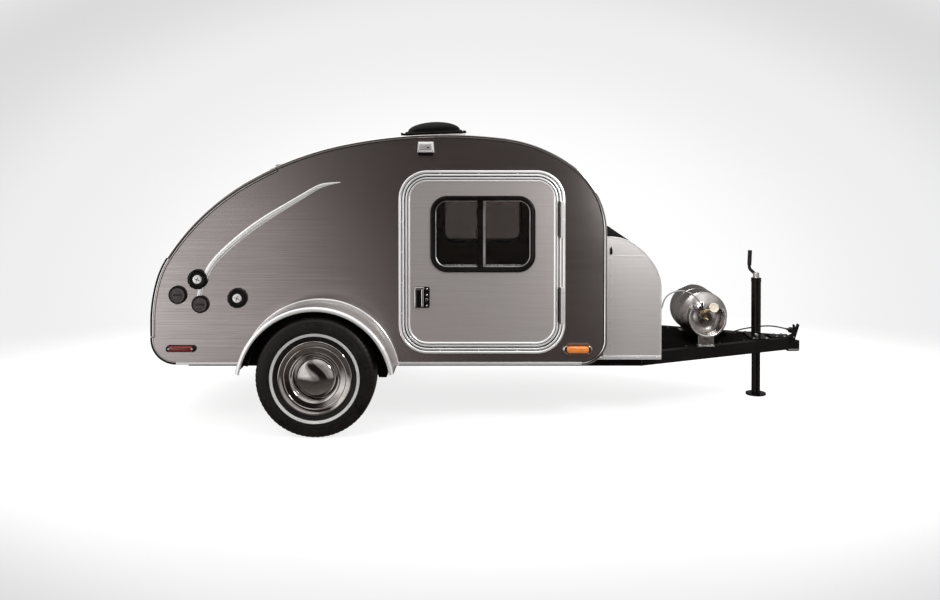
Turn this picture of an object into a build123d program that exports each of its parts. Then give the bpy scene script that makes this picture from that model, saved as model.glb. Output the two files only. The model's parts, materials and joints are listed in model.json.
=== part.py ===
from build123d import *
import math
import os

# Teardrop trailer, parked on its wheels and its tongue jack.
# Frame: +X forward to the coupler, +Y to the left side, +Z up, ground at z = 0.
# Origin: middle of the trailer's length and width, on the ground.  Millimetres.

os.makedirs("parts", exist_ok=True)

# ------------------------------------------------------------------ body shell
BODY_HALF_W = 762.0          # outside of the side walls
WALL_T = 38.0                # side wall: skin, frame and lining together
IN_HALF_W = BODY_HALF_W - WALL_T
SHELL_T = 32.0               # roof, front and tail
BODY_REAR_X = -2039.5
BODY_BOTTOM_Z = 374.0
TAIL_ARC_Z = 620.0           # height where the upright tail starts to curve
CORNER_R = 150.0             # lower corners, front and rear
HATCH_T = 24.0
HATCH_GAP = 5.0
HATCH_BOTTOM_Z = 540.0

# side outline, walked from the tail over the roof to the front:
# (radius, turn in degrees, belongs to the galley hatch)
OUTLINE = [
    (902.7, 16.49, True),
    (502.4, 16.60, True),
    (1372.8, 26.49, True),
    (1942.8, 6.42, True),
    (1942.8, 12.59, False),
    (2933.5, 18.29, False),
    (864.7, 28.63, False),
    (497.9, 54.49, False),
]


def walk(inset=0.0):
    """Arcs of the outline, set in by inset: (start, middle, end, hatch)."""
    x, z, h = BODY_REAR_X, TAIL_ARC_Z, math.pi / 2
    arcs = []
    for r, turn, hatch in OUTLINE:
        t = math.radians(turn)
        cx, cz = x + r * math.cos(h - math.pi / 2), z + r * math.sin(h - math.pi / 2)

        def at(a, rr):
            return (cx + rr * math.cos(a + math.pi / 2), cz + rr * math.sin(a + math.pi / 2))
        rr = r - inset
        arcs.append((at(h, rr), at(h - t / 2, rr), at(h - t, rr), hatch))
        x, z = at(h - t, r)
        h -= t
    return arcs, (x, z, h)


_, (BODY_FRONT_X, FRONT_TOP_Z, _h) = walk()
HINGE_X, HINGE_Z = [a for a in walk()[0] if a[3]][-1][2]
_hh = math.pi / 2 - math.radians(sum(t for _r, t, hat in OUTLINE if hat))
HATCH_N = (-math.sin(_hh), math.cos(_hh))       # outward normal at the hatch hinge
S = math.sqrt(0.5)

# ------------------------------------------------------------------ chassis
RAIL_OUT_Y = 520.0
RAIL_W = 50.0
RAIL_H = 76.0
RAIL_TOP_Z = 387.0
RAIL_BOTTOM_Z = RAIL_TOP_Z - RAIL_H
RAIL_REAR_X = -1885.0
DECK_TOP_Z = 383.0
RAIL_FRONT_X = 900.0
TONGUE_TIP_X = 1950.0
TONGUE_TIP_Y = 60.0
COUPLER_FRONT_X = 2039.5

# ------------------------------------------------------------------ wheels
AXLE_X = -1035.0
TYRE_R = 344.0
TYRE_W = 205.0
TYRE_OUT_Y = 980.0
WHEEL_Y = TYRE_OUT_Y - TYRE_W / 2
RIM_R = 190.5                 # bead seat of a 15 inch rim
AXLE_BEAM_Z = 213.0
SPRING_EYE_DX = 343.0
SPRING_EYE_Z = 266.0
FENDER_X, FENDER_Z, FENDER_R = -1038.0, 293.0, 458.0
FENDER_END_Z = 368.0
FENDER_T = 4.0
FENDER_LIP = 26.0

# ------------------------------------------------------------------ doors
DOOR_X0, DOOR_X1 = -534.0, 368.0
DOOR_Z0, DOOR_Z1 = 481.0, 1482.0
DOOR_R = 130.0
DOOR_T = 34.0
DOOR_GAP = 6.0
FRAME_W = 34.0                # flange round the doorway
WIN_X0, WIN_X1 = -387.0, 232.0
WIN_Z0, WIN_Z1 = 922.0, 1372.0
WIN_R = 100.0
WIN_FRAME = 24.0
DOOR_HINGE_X, DOOR_HINGE_Y = 376.0, 775.0

# ------------------------------------------------------------------ nose box
BOX_REAR_X = 668.0
BOX_HALF_W = 610.0
BOX_BOTTOM_Z = 387.0
BOX_T = 12.0
BOX_FRONT_X = 1003.0
BOX_LOW_Z = 800.3             # height where the upright front starts to curve
BOX_SPLIT_Z = 991.0           # top of the tub, under the lid
BOX_LID_GAP = 6.0
BOX_ARCS = [(266.0, 31.24), (446.1, 19.74), (268.2, 39.02)]   # (radius, turn), front to top

# ------------------------------------------------------------------ jack, tank
JACK_X = 1750.5
JACK_OUT_R, JACK_BORE_R, JACK_IN_R = 31.5, 29.0, 28.5
JACK_TOP_Z, JACK_LOW_Z, LEG_TOP_Z = 778.5, 296.0, 500.0
TANK_X, TANK_Z, TANK_R = 1354.0, 562.0, 152.0
TANK_Y0, TANK_Y1 = -200.0, 140.0
COLLAR_R = 115.0              # guard collar, near end
RING_R = 105.0                # foot ring, far end

VENT_X, VENT_HALF, VENT_HOLE = -397.0, 210.0, 356.0


def save(builder, name):
    builder.part.label = name
    export_step(builder.part, "parts/" + name + ".step")


def side_outline(inset=0.0, hatch_inset=None):
    """Closed outline of the body, drawn in the open BuildLine (X, Z)."""
    hi = inset if hatch_inset is None else hatch_inset
    rear, front = BODY_REAR_X + hi, BODY_FRONT_X - inset
    last = None
    arcs_f, _ = walk(inset)
    arcs_h, _ = walk(hi)
    for af, ah in zip(arcs_f, arcs_h):
        a = ah if af[3] else af
        if last is not None and (abs(last[0] - a[0][0]) > 1e-6 or abs(last[1] - a[0][1]) > 1e-6):
            Line(last, a[0])
        ThreePointArc(a[0], a[1], a[2])
        last = a[2]
    cr = CORNER_R
    fc = (BODY_FRONT_X - cr, BODY_BOTTOM_Z + cr)
    rc = (BODY_REAR_X + cr, BODY_BOTTOM_Z + cr)
    rf = cr - inset
    Line(last, (front, fc[1]))
    ThreePointArc((front, fc[1]), (fc[0] + rf * S, fc[1] - rf * S), (fc[0], fc[1] - rf))
    Line((fc[0], fc[1] - rf), (rc[0], rc[1] - rf))
    ThreePointArc((rc[0], rc[1] - rf), (rc[0] - rf * S, rc[1] - rf * S), (rc[0] - rf, rc[1]))
    if hi != inset:
        step = HATCH_BOTTOM_Z - HATCH_GAP
        Line((rc[0] - rf, rc[1]), (rc[0] - rf, step))
        Line((rc[0] - rf, step), (rear, step))
        Line((rear, step), arcs_h[0][0])
    else:
        Line((rear, rc[1]), arcs_h[0][0])


def rounded_panel(x0, x1, z0, z1, r):
    """Rounded rectangle in an open BuildSketch on the X-Z plane."""
    with Locations(((x0 + x1) / 2, (z0 + z1) / 2)):
        RectangleRounded(x1 - x0, z1 - z0, r)


def side_plane(sg, y):
    """X-Z plane at sg * y whose extrusion runs outward for both sides."""
    if sg < 0:
        return Plane(origin=(0, -y, 0), x_dir=(1, 0, 0), z_dir=(0, -1, 0))
    return Plane(origin=(0, y, 0), x_dir=(1, 0, 0), z_dir=(0, -1, 0))


def out(sg, t):
    """Amount that extrudes a side_plane sketch outward by t."""
    return t if sg < 0 else -t


SIDES = (("right", -1), ("left", 1))

# ================================================================== side walls
for side, sg in SIDES:
    with BuildPart() as side_wall:
        with BuildSketch(side_plane(sg, IN_HALF_W)):
            with BuildLine():
                side_outline(0.0, hatch_inset=HATCH_T + HATCH_GAP)
            make_face()
            # doorway
            with Locations(((DOOR_X0 + DOOR_X1) / 2, (DOOR_Z0 + DOOR_Z1) / 2)):
                RectangleRounded(DOOR_X1 - DOOR_X0 + 2 * DOOR_GAP, DOOR_Z1 - DOOR_Z0 + 2 * DOOR_GAP,
                                 DOOR_R + DOOR_GAP, mode=Mode.SUBTRACT)
        extrude(amount=out(sg, WALL_T))
    save(side_wall, "side_wall_" + side)

    with BuildPart() as door_frame:
        with BuildSketch(side_plane(sg, BODY_HALF_W)):
            rounded_panel(DOOR_X0 - DOOR_GAP - FRAME_W, DOOR_X1 + DOOR_GAP + FRAME_W,
                          DOOR_Z0 - DOOR_GAP - FRAME_W, DOOR_Z1 + DOOR_GAP + FRAME_W,
                          DOOR_R + DOOR_GAP + FRAME_W)
            with Locations(((DOOR_X0 + DOOR_X1) / 2, (DOOR_Z0 + DOOR_Z1) / 2)):
                RectangleRounded(DOOR_X1 - DOOR_X0 + 2 * DOOR_GAP, DOOR_Z1 - DOOR_Z0 + 2 * DOOR_GAP,
                                 DOOR_R + DOOR_GAP, mode=Mode.SUBTRACT)
        extrude(amount=out(sg, 6.0))
    save(door_frame, "door_frame_" + side)

# ================================================================== roof shell
# one bent panel from the hatch hinge over the roof and down the front
with BuildPart() as roof_shell:
    with BuildSketch(side_plane(-1, -IN_HALF_W)):
        with BuildLine():
            outer = [a for a in walk(0.0)[0] if not a[3]]
            inner = [a for a in walk(SHELL_T)[0] if not a[3]]
            for a in outer:
                ThreePointArc(a[0], a[1], a[2])
            fz = BODY_BOTTOM_Z + CORNER_R
            fx = BODY_FRONT_X - CORNER_R
            Line(outer[-1][2], (BODY_FRONT_X, fz))
            ThreePointArc((BODY_FRONT_X, fz), (fx + CORNER_R * S, fz - CORNER_R * S), (fx, BODY_BOTTOM_Z))
            ri = CORNER_R - SHELL_T
            Line((fx, BODY_BOTTOM_Z), (fx, BODY_BOTTOM_Z + SHELL_T))
            ThreePointArc((fx, BODY_BOTTOM_Z + SHELL_T), (fx + ri * S, fz - ri * S), (fx + ri, fz))
            Line((fx + ri, fz), inner[-1][2])
            for a in reversed(inner):
                ThreePointArc(a[2], a[1], a[0])
            Line(inner[0][0], outer[0][0])
        make_face()
    extrude(amount=2 * IN_HALF_W)
    # the lower front edge is notched over the chassis rails
    for y in (-(RAIL_OUT_Y - RAIL_W / 2), RAIL_OUT_Y - RAIL_W / 2):
        with Locations((600.0, y, RAIL_TOP_Z - 10.0)):
            Box(300.0, RAIL_W, 20.0, mode=Mode.SUBTRACT)
    # opening for the roof vent
    with Locations((VENT_X, 0, 1700.0)):
        Box(VENT_HOLE, VENT_HOLE, 120.0, mode=Mode.SUBTRACT)
save(roof_shell, "roof_shell")

# ================================================================== floor and tail sill
FLOOR_TOP_Z = RAIL_TOP_Z + 30.0
SILL_TOP_Z = 600.0
with BuildPart() as floor:
    with BuildSketch(side_plane(-1, -IN_HALF_W)):
        rx, rz = BODY_REAR_X + CORNER_R, BODY_BOTTOM_Z + CORNER_R
        x_in = BODY_REAR_X + HATCH_T + HATCH_GAP + SHELL_T
        ri = rx - x_in
        fx = BODY_FRONT_X - CORNER_R
        with BuildLine():
            Polyline((rx, BODY_BOTTOM_Z), (rx, RAIL_TOP_Z), (fx, RAIL_TOP_Z), (fx, FLOOR_TOP_Z), (rx, FLOOR_TOP_Z),
                     (rx, rz - ri))
            ThreePointArc((rx, rz - ri), (rx - ri * S, rz - ri * S), (x_in, rz))
            Polyline((x_in, rz), (x_in, SILL_TOP_Z), (x_in - SHELL_T, SILL_TOP_Z),
                     (x_in - SHELL_T, HATCH_BOTTOM_Z - HATCH_GAP), (BODY_REAR_X, HATCH_BOTTOM_Z - HATCH_GAP),
                     (BODY_REAR_X, rz))
            ThreePointArc((BODY_REAR_X, rz), (rx - CORNER_R * S, rz - CORNER_R * S), (rx, BODY_BOTTOM_Z))
        make_face()
    extrude(amount=2 * IN_HALF_W)
save(floor, "floor")

# ================================================================== bulkhead and galley cabinet
BULK_X = -1170.0
BULK_T = 22.0
COUNTER_Z = 880.0
with BuildPart() as bulkhead:
    with BuildSketch(side_plane(-1, -IN_HALF_W)):
        with BuildLine():
            side_outline(SHELL_T, hatch_inset=SHELL_T)
        make_face()
        with Locations((BULK_X - BULK_T / 2, 1200.0)):
            Rectangle(BULK_T, 2 * (1200.0 - FLOOR_TOP_Z), mode=Mode.INTERSECT)
    extrude(amount=2 * IN_HALF_W)
save(bulkhead, "galley_bulkhead")

with BuildPart() as galley_cabinet:
    gx0, gx1 = -1890.0, BULK_X - BULK_T
    with BuildSketch(side_plane(-1, -IN_HALF_W)):
        with BuildLine():
            Polyline((gx0, COUNTER_Z), (gx1, COUNTER_Z), (gx1, COUNTER_Z - 24.0), (gx0 + 40.0, COUNTER_Z - 24.0),
                     (gx0 + 40.0, FLOOR_TOP_Z), (gx0 + 22.0, FLOOR_TOP_Z), (gx0 + 22.0, COUNTER_Z - 24.0),
                     (gx0, COUNTER_Z - 24.0), close=True)
        make_face()
    extrude(amount=2 * IN_HALF_W)
    # upright dividers between the counter and the floor
    for y in (-240.0, 240.0):
        with Locations(((gx0 + 40.0 + gx1) / 2, y, (FLOOR_TOP_Z + COUNTER_Z - 24.0) / 2)):
            Box(gx1 - gx0 - 40.0, 18.0, COUNTER_Z - 24.0 - FLOOR_TOP_Z)
save(galley_cabinet, "galley_cabinet")

# ================================================================== galley hatch
# full-width curved lid over the tail, from the roof hinge down to the sill
with BuildPart() as galley_hatch:
    with BuildSketch(side_plane(-1, -BODY_HALF_W)):
        with BuildLine():
            outer = [a for a in walk(0.0)[0] if a[3]]
            inner = [a for a in walk(HATCH_T)[0] if a[3]]
            Line((BODY_REAR_X, HATCH_BOTTOM_Z), outer[0][0])
            for a in outer:
                ThreePointArc(a[0], a[1], a[2])
            Line(outer[-1][2], inner[-1][2])
            for a in reversed(inner):
                ThreePointArc(a[2], a[1], a[0])
            Line(inner[0][0], (BODY_REAR_X + HATCH_T, HATCH_BOTTOM_Z))
            Line((BODY_REAR_X + HATCH_T, HATCH_BOTTOM_Z), (BODY_REAR_X, HATCH_BOTTOM_Z))
        make_face()
    extrude(amount=2 * BODY_HALF_W)
    # the lid starts 6 mm behind the hinge line, square to the roof
    with BuildSketch(side_plane(-1, -BODY_HALF_W)):
        with Locations((HINGE_X, HINGE_Z)):
            Rectangle(12.0, 120.0, rotation=math.degrees(math.atan2(-HATCH_N[0], HATCH_N[1])))
    extrude(amount=2 * BODY_HALF_W, mode=Mode.SUBTRACT)
save(galley_hatch, "galley_hatch")

# ================================================================== doors
for side, sg in SIDES:
    with BuildPart() as door_panel:
        with BuildSketch(side_plane(sg, BODY_HALF_W - DOOR_T)):
            rounded_panel(DOOR_X0, DOOR_X1, DOOR_Z0, DOOR_Z1, DOOR_R)
            with Locations(((WIN_X0 + WIN_X1) / 2, (WIN_Z0 + WIN_Z1) / 2)):
                RectangleRounded(WIN_X1 - WIN_X0 - 2 * 14.0, WIN_Z1 - WIN_Z0 - 2 * 14.0, WIN_R - 14.0,
                                 mode=Mode.SUBTRACT)
        extrude(amount=out(sg, DOOR_T))
    save(door_panel, "door_panel_" + side)

    # window frame: flange outside, sleeve through the door, centre bar
    with BuildPart() as window_frame:
        with BuildSketch(side_plane(sg, BODY_HALF_W)):
            rounded_panel(WIN_X0, WIN_X1, WIN_Z0, WIN_Z1, WIN_R)
            with Locations(((WIN_X0 + WIN_X1) / 2, (WIN_Z0 + WIN_Z1) / 2)):
                RectangleRounded(WIN_X1 - WIN_X0 - 2 * WIN_FRAME, WIN_Z1 - WIN_Z0 - 2 * WIN_FRAME,
                                 WIN_R - WIN_FRAME, mode=Mode.SUBTRACT)
        extrude(amount=out(sg, 7.0))
        with BuildSketch(side_plane(sg, BODY_HALF_W - DOOR_T)):
            rounded_panel(WIN_X0 + 14.0, WIN_X1 - 14.0, WIN_Z0 + 14.0, WIN_Z1 - 14.0, WIN_R - 14.0)
            with Locations(((WIN_X0 + WIN_X1) / 2, (WIN_Z0 + WIN_Z1) / 2)):
                RectangleRounded(WIN_X1 - WIN_X0 - 2 * WIN_FRAME, WIN_Z1 - WIN_Z0 - 2 * WIN_FRAME,
                                 WIN_R - WIN_FRAME, mode=Mode.SUBTRACT)
        extrude(amount=out(sg, DOOR_T))
        with BuildSketch(side_plane(sg, BODY_HALF_W - 8.0)):
            with Locations((-94.0, (WIN_Z0 + WIN_Z1) / 2)):
                Rectangle(34.0, WIN_Z1 - WIN_Z0 - 2 * WIN_FRAME + 4.0)
        extrude(amount=out(sg, 12.0))
    save(window_frame, "window_frame_" + side)

    with BuildPart() as door_glass:
        with BuildSketch(side_plane(sg, BODY_HALF_W - 14.0)):
            rounded_panel(WIN_X0 + WIN_FRAME, WIN_X1 - WIN_FRAME, WIN_Z0 + WIN_FRAME, WIN_Z1 - WIN_FRAME,
                          WIN_R - WIN_FRAME)
        extrude(amount=out(sg, 5.0))
    save(door_glass, "door_glass_" + side)

# ================================================================== fenders
def half_ring(r0, r1):
    """Edges of the fender's section between two radii, drawn in the open BuildLine."""
    dz = FENDER_END_Z - FENDER_Z
    xo, xi = math.sqrt(r1 * r1 - dz * dz), math.sqrt(r0 * r0 - dz * dz)
    ThreePointArc((FENDER_X - xo, FENDER_END_Z), (FENDER_X, FENDER_Z + r1), (FENDER_X + xo, FENDER_END_Z))
    Line((FENDER_X + xo, FENDER_END_Z), (FENDER_X + xi, FENDER_END_Z))
    ThreePointArc((FENDER_X + xi, FENDER_END_Z), (FENDER_X, FENDER_Z + r0), (FENDER_X - xi, FENDER_END_Z))
    Line((FENDER_X - xi, FENDER_END_Z), (FENDER_X - xo, FENDER_END_Z))


for side, sg in SIDES:
    with BuildPart() as fender:
        with BuildSketch(side_plane(sg, BODY_HALF_W)):
            with BuildLine():
                half_ring(FENDER_R - FENDER_T, FENDER_R)
            make_face()
        extrude(amount=out(sg, TYRE_OUT_Y - BODY_HALF_W))
        # rolled outer lip
        with BuildSketch(side_plane(sg, TYRE_OUT_Y - 6.0)):
            with BuildLine():
                half_ring(FENDER_R - FENDER_LIP, FENDER_R)
            make_face()
        extrude(amount=out(sg, 6.0))
        # mounting flange on the side wall
        with BuildSketch(side_plane(sg, BODY_HALF_W)):
            with BuildLine():
                half_ring(FENDER_R - FENDER_LIP, FENDER_R + 6.0)
            make_face()
        extrude(amount=out(sg, 4.0))
    save(fender, "fender_" + side)

# ================================================================== wheels
def wheel_plane(sg):
    return Plane(origin=(AXLE_X, sg * WHEEL_Y, TYRE_R), x_dir=(0, sg, 0), z_dir=(sg, 0, 0))


for side, sg in SIDES:
    ax = Axis((AXLE_X, sg * WHEEL_Y, TYRE_R), (0, sg, 0))
    hw = TYRE_W / 2
    with BuildPart() as tyre:
        with BuildSketch(wheel_plane(sg)):
            with BuildLine():
                Line((-80.0, RIM_R), (80.0, RIM_R))
                Polyline((80.0, RIM_R), (87.0, 206.0), (89.0, 222.0))
                ThreePointArc((89.0, 222.0), (hw, 268.0), (94.0, 318.0))
                ThreePointArc((94.0, 318.0), (88.0, 331.0), (74.0, 337.0))
                ThreePointArc((74.0, 337.0), (0.0, TYRE_R), (-74.0, 337.0))
                ThreePointArc((-74.0, 337.0), (-88.0, 331.0), (-94.0, 318.0))
                ThreePointArc((-94.0, 318.0), (-hw, 268.0), (-89.0, 222.0))
                Polyline((-89.0, 222.0), (-87.0, 206.0), (-80.0, RIM_R))
            make_face()
        revolve(axis=ax)
    save(tyre, "tyre_" + side)

    # drop-centre steel rim with its disc and hub
    with BuildPart() as rim:
        with BuildSketch(wheel_plane(sg)):
            with BuildLine():
                Polyline((80.0, RIM_R), (87.0, 206.0), (91.5, 206.0), (91.5, 202.0), (83.0, 182.0),
                         (44.0, 182.0), (40.0, 168.0), (8.0, 165.0), (30.0, 120.0), (36.0, 62.0),
                         (30.0, 54.0), (30.0, 24.0), (-60.0, 24.0), (-60.0, 46.0), (14.0, 50.0), (16.0, 120.0),
                         (-4.0, 160.0), (-20.0, 165.0), (-40.0, 170.0), (-50.0, 182.0), (-83.0, 182.0),
                         (-91.5, 202.0), (-91.5, 206.0), (-87.0, 206.0), (-80.0, RIM_R), close=True)
            make_face()
        revolve(axis=ax)
    save(rim, "rim_" + side)

    # trim ring and domed hub cap
    with BuildPart() as hubcap:
        with BuildSketch(wheel_plane(sg)):
            with BuildLine():
                Polyline((91.5, 212.0), (96.0, 211.0), (98.5, 207.0), (98.0, 200.0), (88.0, 178.0), (84.0, 144.0),
                         (76.0, 123.0), (62.0, 104.0))
                ThreePointArc((62.0, 104.0), (88.0, 60.0), (98.0, 8.0))
                Polyline((98.0, 8.0), (98.0, 0.0), (94.0, 0.0), (94.0, 8.0))
                ThreePointArc((94.0, 8.0), (84.0, 58.0), (58.0, 102.0))
                Polyline((58.0, 102.0), (56.0, 107.0), (72.0, 126.0), (80.0, 146.0),
                         (84.0, 179.0), (91.5, 202.0), (91.5, 212.0))
            make_face()
        revolve(axis=ax)
    save(hubcap, "hubcap_" + side)

# ================================================================== axle and springs
with BuildPart() as axle_beam:
    with Locations((AXLE_X, 0, AXLE_BEAM_Z)):
        Box(50.0, 2 * 640.0, 50.0)
    for sg in (-1, 1):
        with Locations((AXLE_X, sg * 665.0, (AXLE_BEAM_Z + TYRE_R) / 2)):
            Box(50.0, 50.0, TYRE_R - AXLE_BEAM_Z + 50.0)
        with BuildSketch(Plane(origin=(AXLE_X, sg * 690.0, TYRE_R), x_dir=(1, 0, 0), z_dir=(0, sg, 0))):
            Circle(22.0)
        extrude(amount=WHEEL_Y - 690.0 + 20.0)
save(axle_beam, "axle_beam")

with BuildPart() as leaf_springs:
    for sg in (-1, 1):
        y = sg * (RAIL_OUT_Y - RAIL_W / 2)
        with BuildSketch(side_plane(-1, -(y + 22.0))):
            ex, ez = SPRING_EYE_DX, SPRING_EYE_Z
            sag = 18.0
            with BuildLine():
                ThreePointArc((AXLE_X - ex, ez), (AXLE_X, ez - sag), (AXLE_X + ex, ez))
                Line((AXLE_X + ex, ez), (AXLE_X + ex, ez - 8.0))
                ThreePointArc((AXLE_X + ex, ez - 8.0), (AXLE_X, AXLE_BEAM_Z + 25.0), (AXLE_X - ex, ez - 8.0))
                Line((AXLE_X - ex, ez - 8.0), (AXLE_X - ex, ez))
            make_face()
            for dx in (-ex, ex):
                with Locations((AXLE_X + dx, ez)):
                    Circle(17.0)
                    Circle(7.0, mode=Mode.SUBTRACT)
        extrude(amount=44.0)
save(leaf_springs, "leaf_springs")

# ================================================================== chassis rails, crossmembers, hangers
with BuildPart() as main_frame:
    for sg in (-1, 1):
        y = sg * (RAIL_OUT_Y - RAIL_W / 2)
        with Locations(((RAIL_REAR_X + RAIL_FRONT_X) / 2, y, (RAIL_TOP_Z + RAIL_BOTTOM_Z) / 2)):
            Box(RAIL_FRONT_X - RAIL_REAR_X, RAIL_W, RAIL_H)
        # spring hangers: two ears and a bolt through the spring eye
        for hx in (AXLE_X - SPRING_EYE_DX, AXLE_X + SPRING_EYE_DX):
            for ye in (y - 27.0, y + 27.0):
                with BuildSketch(side_plane(-1, -(ye + 2.5))):
                    with BuildLine():
                        Polyline((hx - 46.0, RAIL_BOTTOM_Z), (hx + 46.0, RAIL_BOTTOM_Z), (hx + 24.0, 241.0),
                                 (hx - 24.0, 241.0), close=True)
                    make_face()
                extrude(amount=5.0)
            with BuildSketch(side_plane(-1, -(y + 29.0))):
                with Locations((hx, SPRING_EYE_Z)):
                    Circle(7.0)
            extrude(amount=58.0)
            with Locations((hx, y, RAIL_BOTTOM_Z - 3.0)):
                Box(92.0, 59.0, 6.0)
    for cx in (RAIL_REAR_X + 25.0, -1500.0, -560.0, 100.0, RAIL_FRONT_X - 200.0):
        with Locations((cx, 0, RAIL_TOP_Z - 25.0)):
            Box(50.0, 2 * (RAIL_OUT_Y - RAIL_W), 50.0)
save(main_frame, "main_frame")

# ================================================================== tongue
def tongue_edge(offset):
    """Start and end (X, Y) of a line offset inward from the tongue rail's outer face."""
    dx, dy = TONGUE_TIP_X - RAIL_FRONT_X, TONGUE_TIP_Y - RAIL_OUT_Y
    n = math.hypot(dx, dy)
    nx, ny = dy / n, -dx / n
    return ((RAIL_FRONT_X + nx * offset, RAIL_OUT_Y + ny * offset),
            (TONGUE_TIP_X + nx * offset, TONGUE_TIP_Y + ny * offset))


with BuildPart() as tongue_rails:
    for sg in (-1, 1):
        (ax0, ay0), (ax1, ay1) = tongue_edge(0.0)
        (bx0, by0), (bx1, by1) = tongue_edge(RAIL_W)
        slope_o = (ay1 - ay0) / (ax1 - ax0)
        with BuildSketch(Plane.XY.offset(RAIL_BOTTOM_Z)):
            with BuildLine():
                yi = by0 + slope_o * (RAIL_FRONT_X - bx0)
                yj = by0 + slope_o * (TONGUE_TIP_X - bx0)
                Polyline((RAIL_FRONT_X, sg * ay0), (TONGUE_TIP_X, sg * ay1), (TONGUE_TIP_X, sg * yj),
                         (RAIL_FRONT_X, sg * yi), close=True)
            make_face()
        extrude(amount=RAIL_H)
save(tongue_rails, "tongue_rails")

with BuildPart() as tongue_deck:
    (bx0, by0), (bx1, by1) = tongue_edge(RAIL_W)
    slope = (by1 - by0) / (bx1 - bx0)
    dx0, dx1 = RAIL_FRONT_X + 40.0, 1690.0
    with BuildSketch(Plane.XY.offset(DECK_TOP_Z - 10.0)):
        with BuildLine():
            ya, yb = by0 + slope * (dx0 - bx0), by0 + slope * (dx1 - bx0)
            Polyline((dx0, ya), (dx1, yb), (dx1, -yb), (dx0, -ya), close=True)
        make_face()
    extrude(amount=10.0)
    # cable gland on the deck
    with Locations((1530.0, 44.0, RAIL_TOP_Z + 8.0)):
        Box(56.0, 34.0, 24.0)
save(tongue_deck, "tongue_deck")

with BuildPart() as coupler:
    # ball housing in front of the tongue tip
    with BuildSketch(Plane.XY.offset(296.0)):
        with BuildLine():
            Polyline((TONGUE_TIP_X, -40.0), (1960.0, -42.0), (1998.0, -41.0))
            ThreePointArc((1998.0, -41.0), (COUPLER_FRONT_X, 0.0), (1998.0, 41.0))
            Polyline((1998.0, 41.0), (1960.0, 42.0), (TONGUE_TIP_X, 40.0), (TONGUE_TIP_X, -40.0))
        make_face()
    extrude(amount=64.0)
    # neck and plate bolted down on the rails
    with Locations((TONGUE_TIP_X + 10.0, 0, 376.0)):
        Box(20.0, 70.0, 34.0)
    with Locations((TONGUE_TIP_X - 45.0, 0, RAIL_TOP_Z + 3.0)):
        Box(130.0, 96.0, 6.0)
    with BuildSketch(Plane.XY.offset(296.0)):
        with Locations((1998.5, 0)):
            Circle(25.7)
    extrude(amount=50.0, mode=Mode.SUBTRACT)
save(coupler, "coupler")

with BuildPart() as coupler_latch:
    with BuildSketch(side_plane(-1, -9.0)):
        with BuildLine():
            Polyline((1971.0, 360.0), (2008.0, 360.0), (2039.0, 466.0), (2026.0, 473.0), (2014.0, 440.0),
                     (2007.0, 466.0), (1997.0, 467.0), (1998.0, 430.0), (1988.0, 402.0), (1971.0, 396.0), close=True)
        make_face()
    extrude(amount=18.0)
save(coupler_latch, "coupler_latch")

# ================================================================== jack
with BuildPart() as jack_tube:
    with BuildSketch(Plane.XY.offset(JACK_LOW_Z)):
        with Locations((JACK_X, 0)):
            Circle(JACK_OUT_R)
            Circle(JACK_BORE_R, mode=Mode.SUBTRACT)
    extrude(amount=JACK_TOP_Z - 22.0 - JACK_LOW_Z)
    with BuildSketch(Plane.XY.offset(JACK_TOP_Z - 22.0)):
        with Locations((JACK_X, 0)):
            Circle(JACK_OUT_R + 1.5)
    extrude(amount=22.0)
    # mounting plate across the tongue rails
    with BuildSketch(Plane.XY.offset(RAIL_TOP_Z)):
        with Locations((JACK_X, 0)):
            Rectangle(110.0, 250.0)
            Circle(JACK_BORE_R, mode=Mode.SUBTRACT)
    extrude(amount=8.0)
save(jack_tube, "jack_tube")

with BuildPart() as jack_crank:
    # gear cap, bent handle and grip
    with BuildSketch(Plane.XY.offset(JACK_TOP_Z)):
        with Locations((JACK_X, 0)):
            Circle(17.0)
    extrude(amount=34.0)
    with BuildLine() as handle:
        FilletPolyline((JACK_X, 0, JACK_TOP_Z + 20.0), (JACK_X - 10.0, 132.0, JACK_TOP_Z + 46.0),
                       (JACK_X - 4.0, 136.0, 946.0), radius=26.0)
    with BuildSketch(Plane(origin=handle.line @ 0, z_dir=handle.line % 0)):
        Circle(10.5)
    sweep()
    grip_dir = Vector(6.0, 4.0, 946.0 - JACK_TOP_Z - 46.0)
    with BuildSketch(Plane(origin=(JACK_X - 8.8, 132.8, 848.0), z_dir=grip_dir)):
        Circle(13.5)
    extrude(amount=100.0)
save(jack_crank, "jack_crank")

with BuildPart() as jack_leg:
    with BuildSketch(Plane.XY.offset(10.0)):
        with Locations((JACK_X, 0)):
            Circle(JACK_IN_R)
    extrude(amount=LEG_TOP_Z - 10.0)
    with BuildSketch(Plane.XY):
        with Locations((JACK_X, 0)):
            Circle(66.0)
    extrude(amount=10.0)
save(jack_leg, "jack_leg")

# ================================================================== nose box
def box_arcs(ins=0.0):
    """Arcs of the nose box's side profile from the upright front to the flat top."""
    x, z, h = BOX_FRONT_X, BOX_LOW_Z, 0.0
    arcs = []
    for r, turn in BOX_ARCS:
        t = math.radians(turn)
        cx, cz = x - r * math.cos(h), z - r * math.sin(h)
        pts = [(cx + (r - ins) * math.cos(h + t * k / 2), cz + (r - ins) * math.sin(h + t * k / 2)) for k in (0, 1, 2)]
        arcs.append(pts)
        x, z, h = cx + r * math.cos(h + t), cz + r * math.sin(h + t), h + t
    return arcs, z


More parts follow.
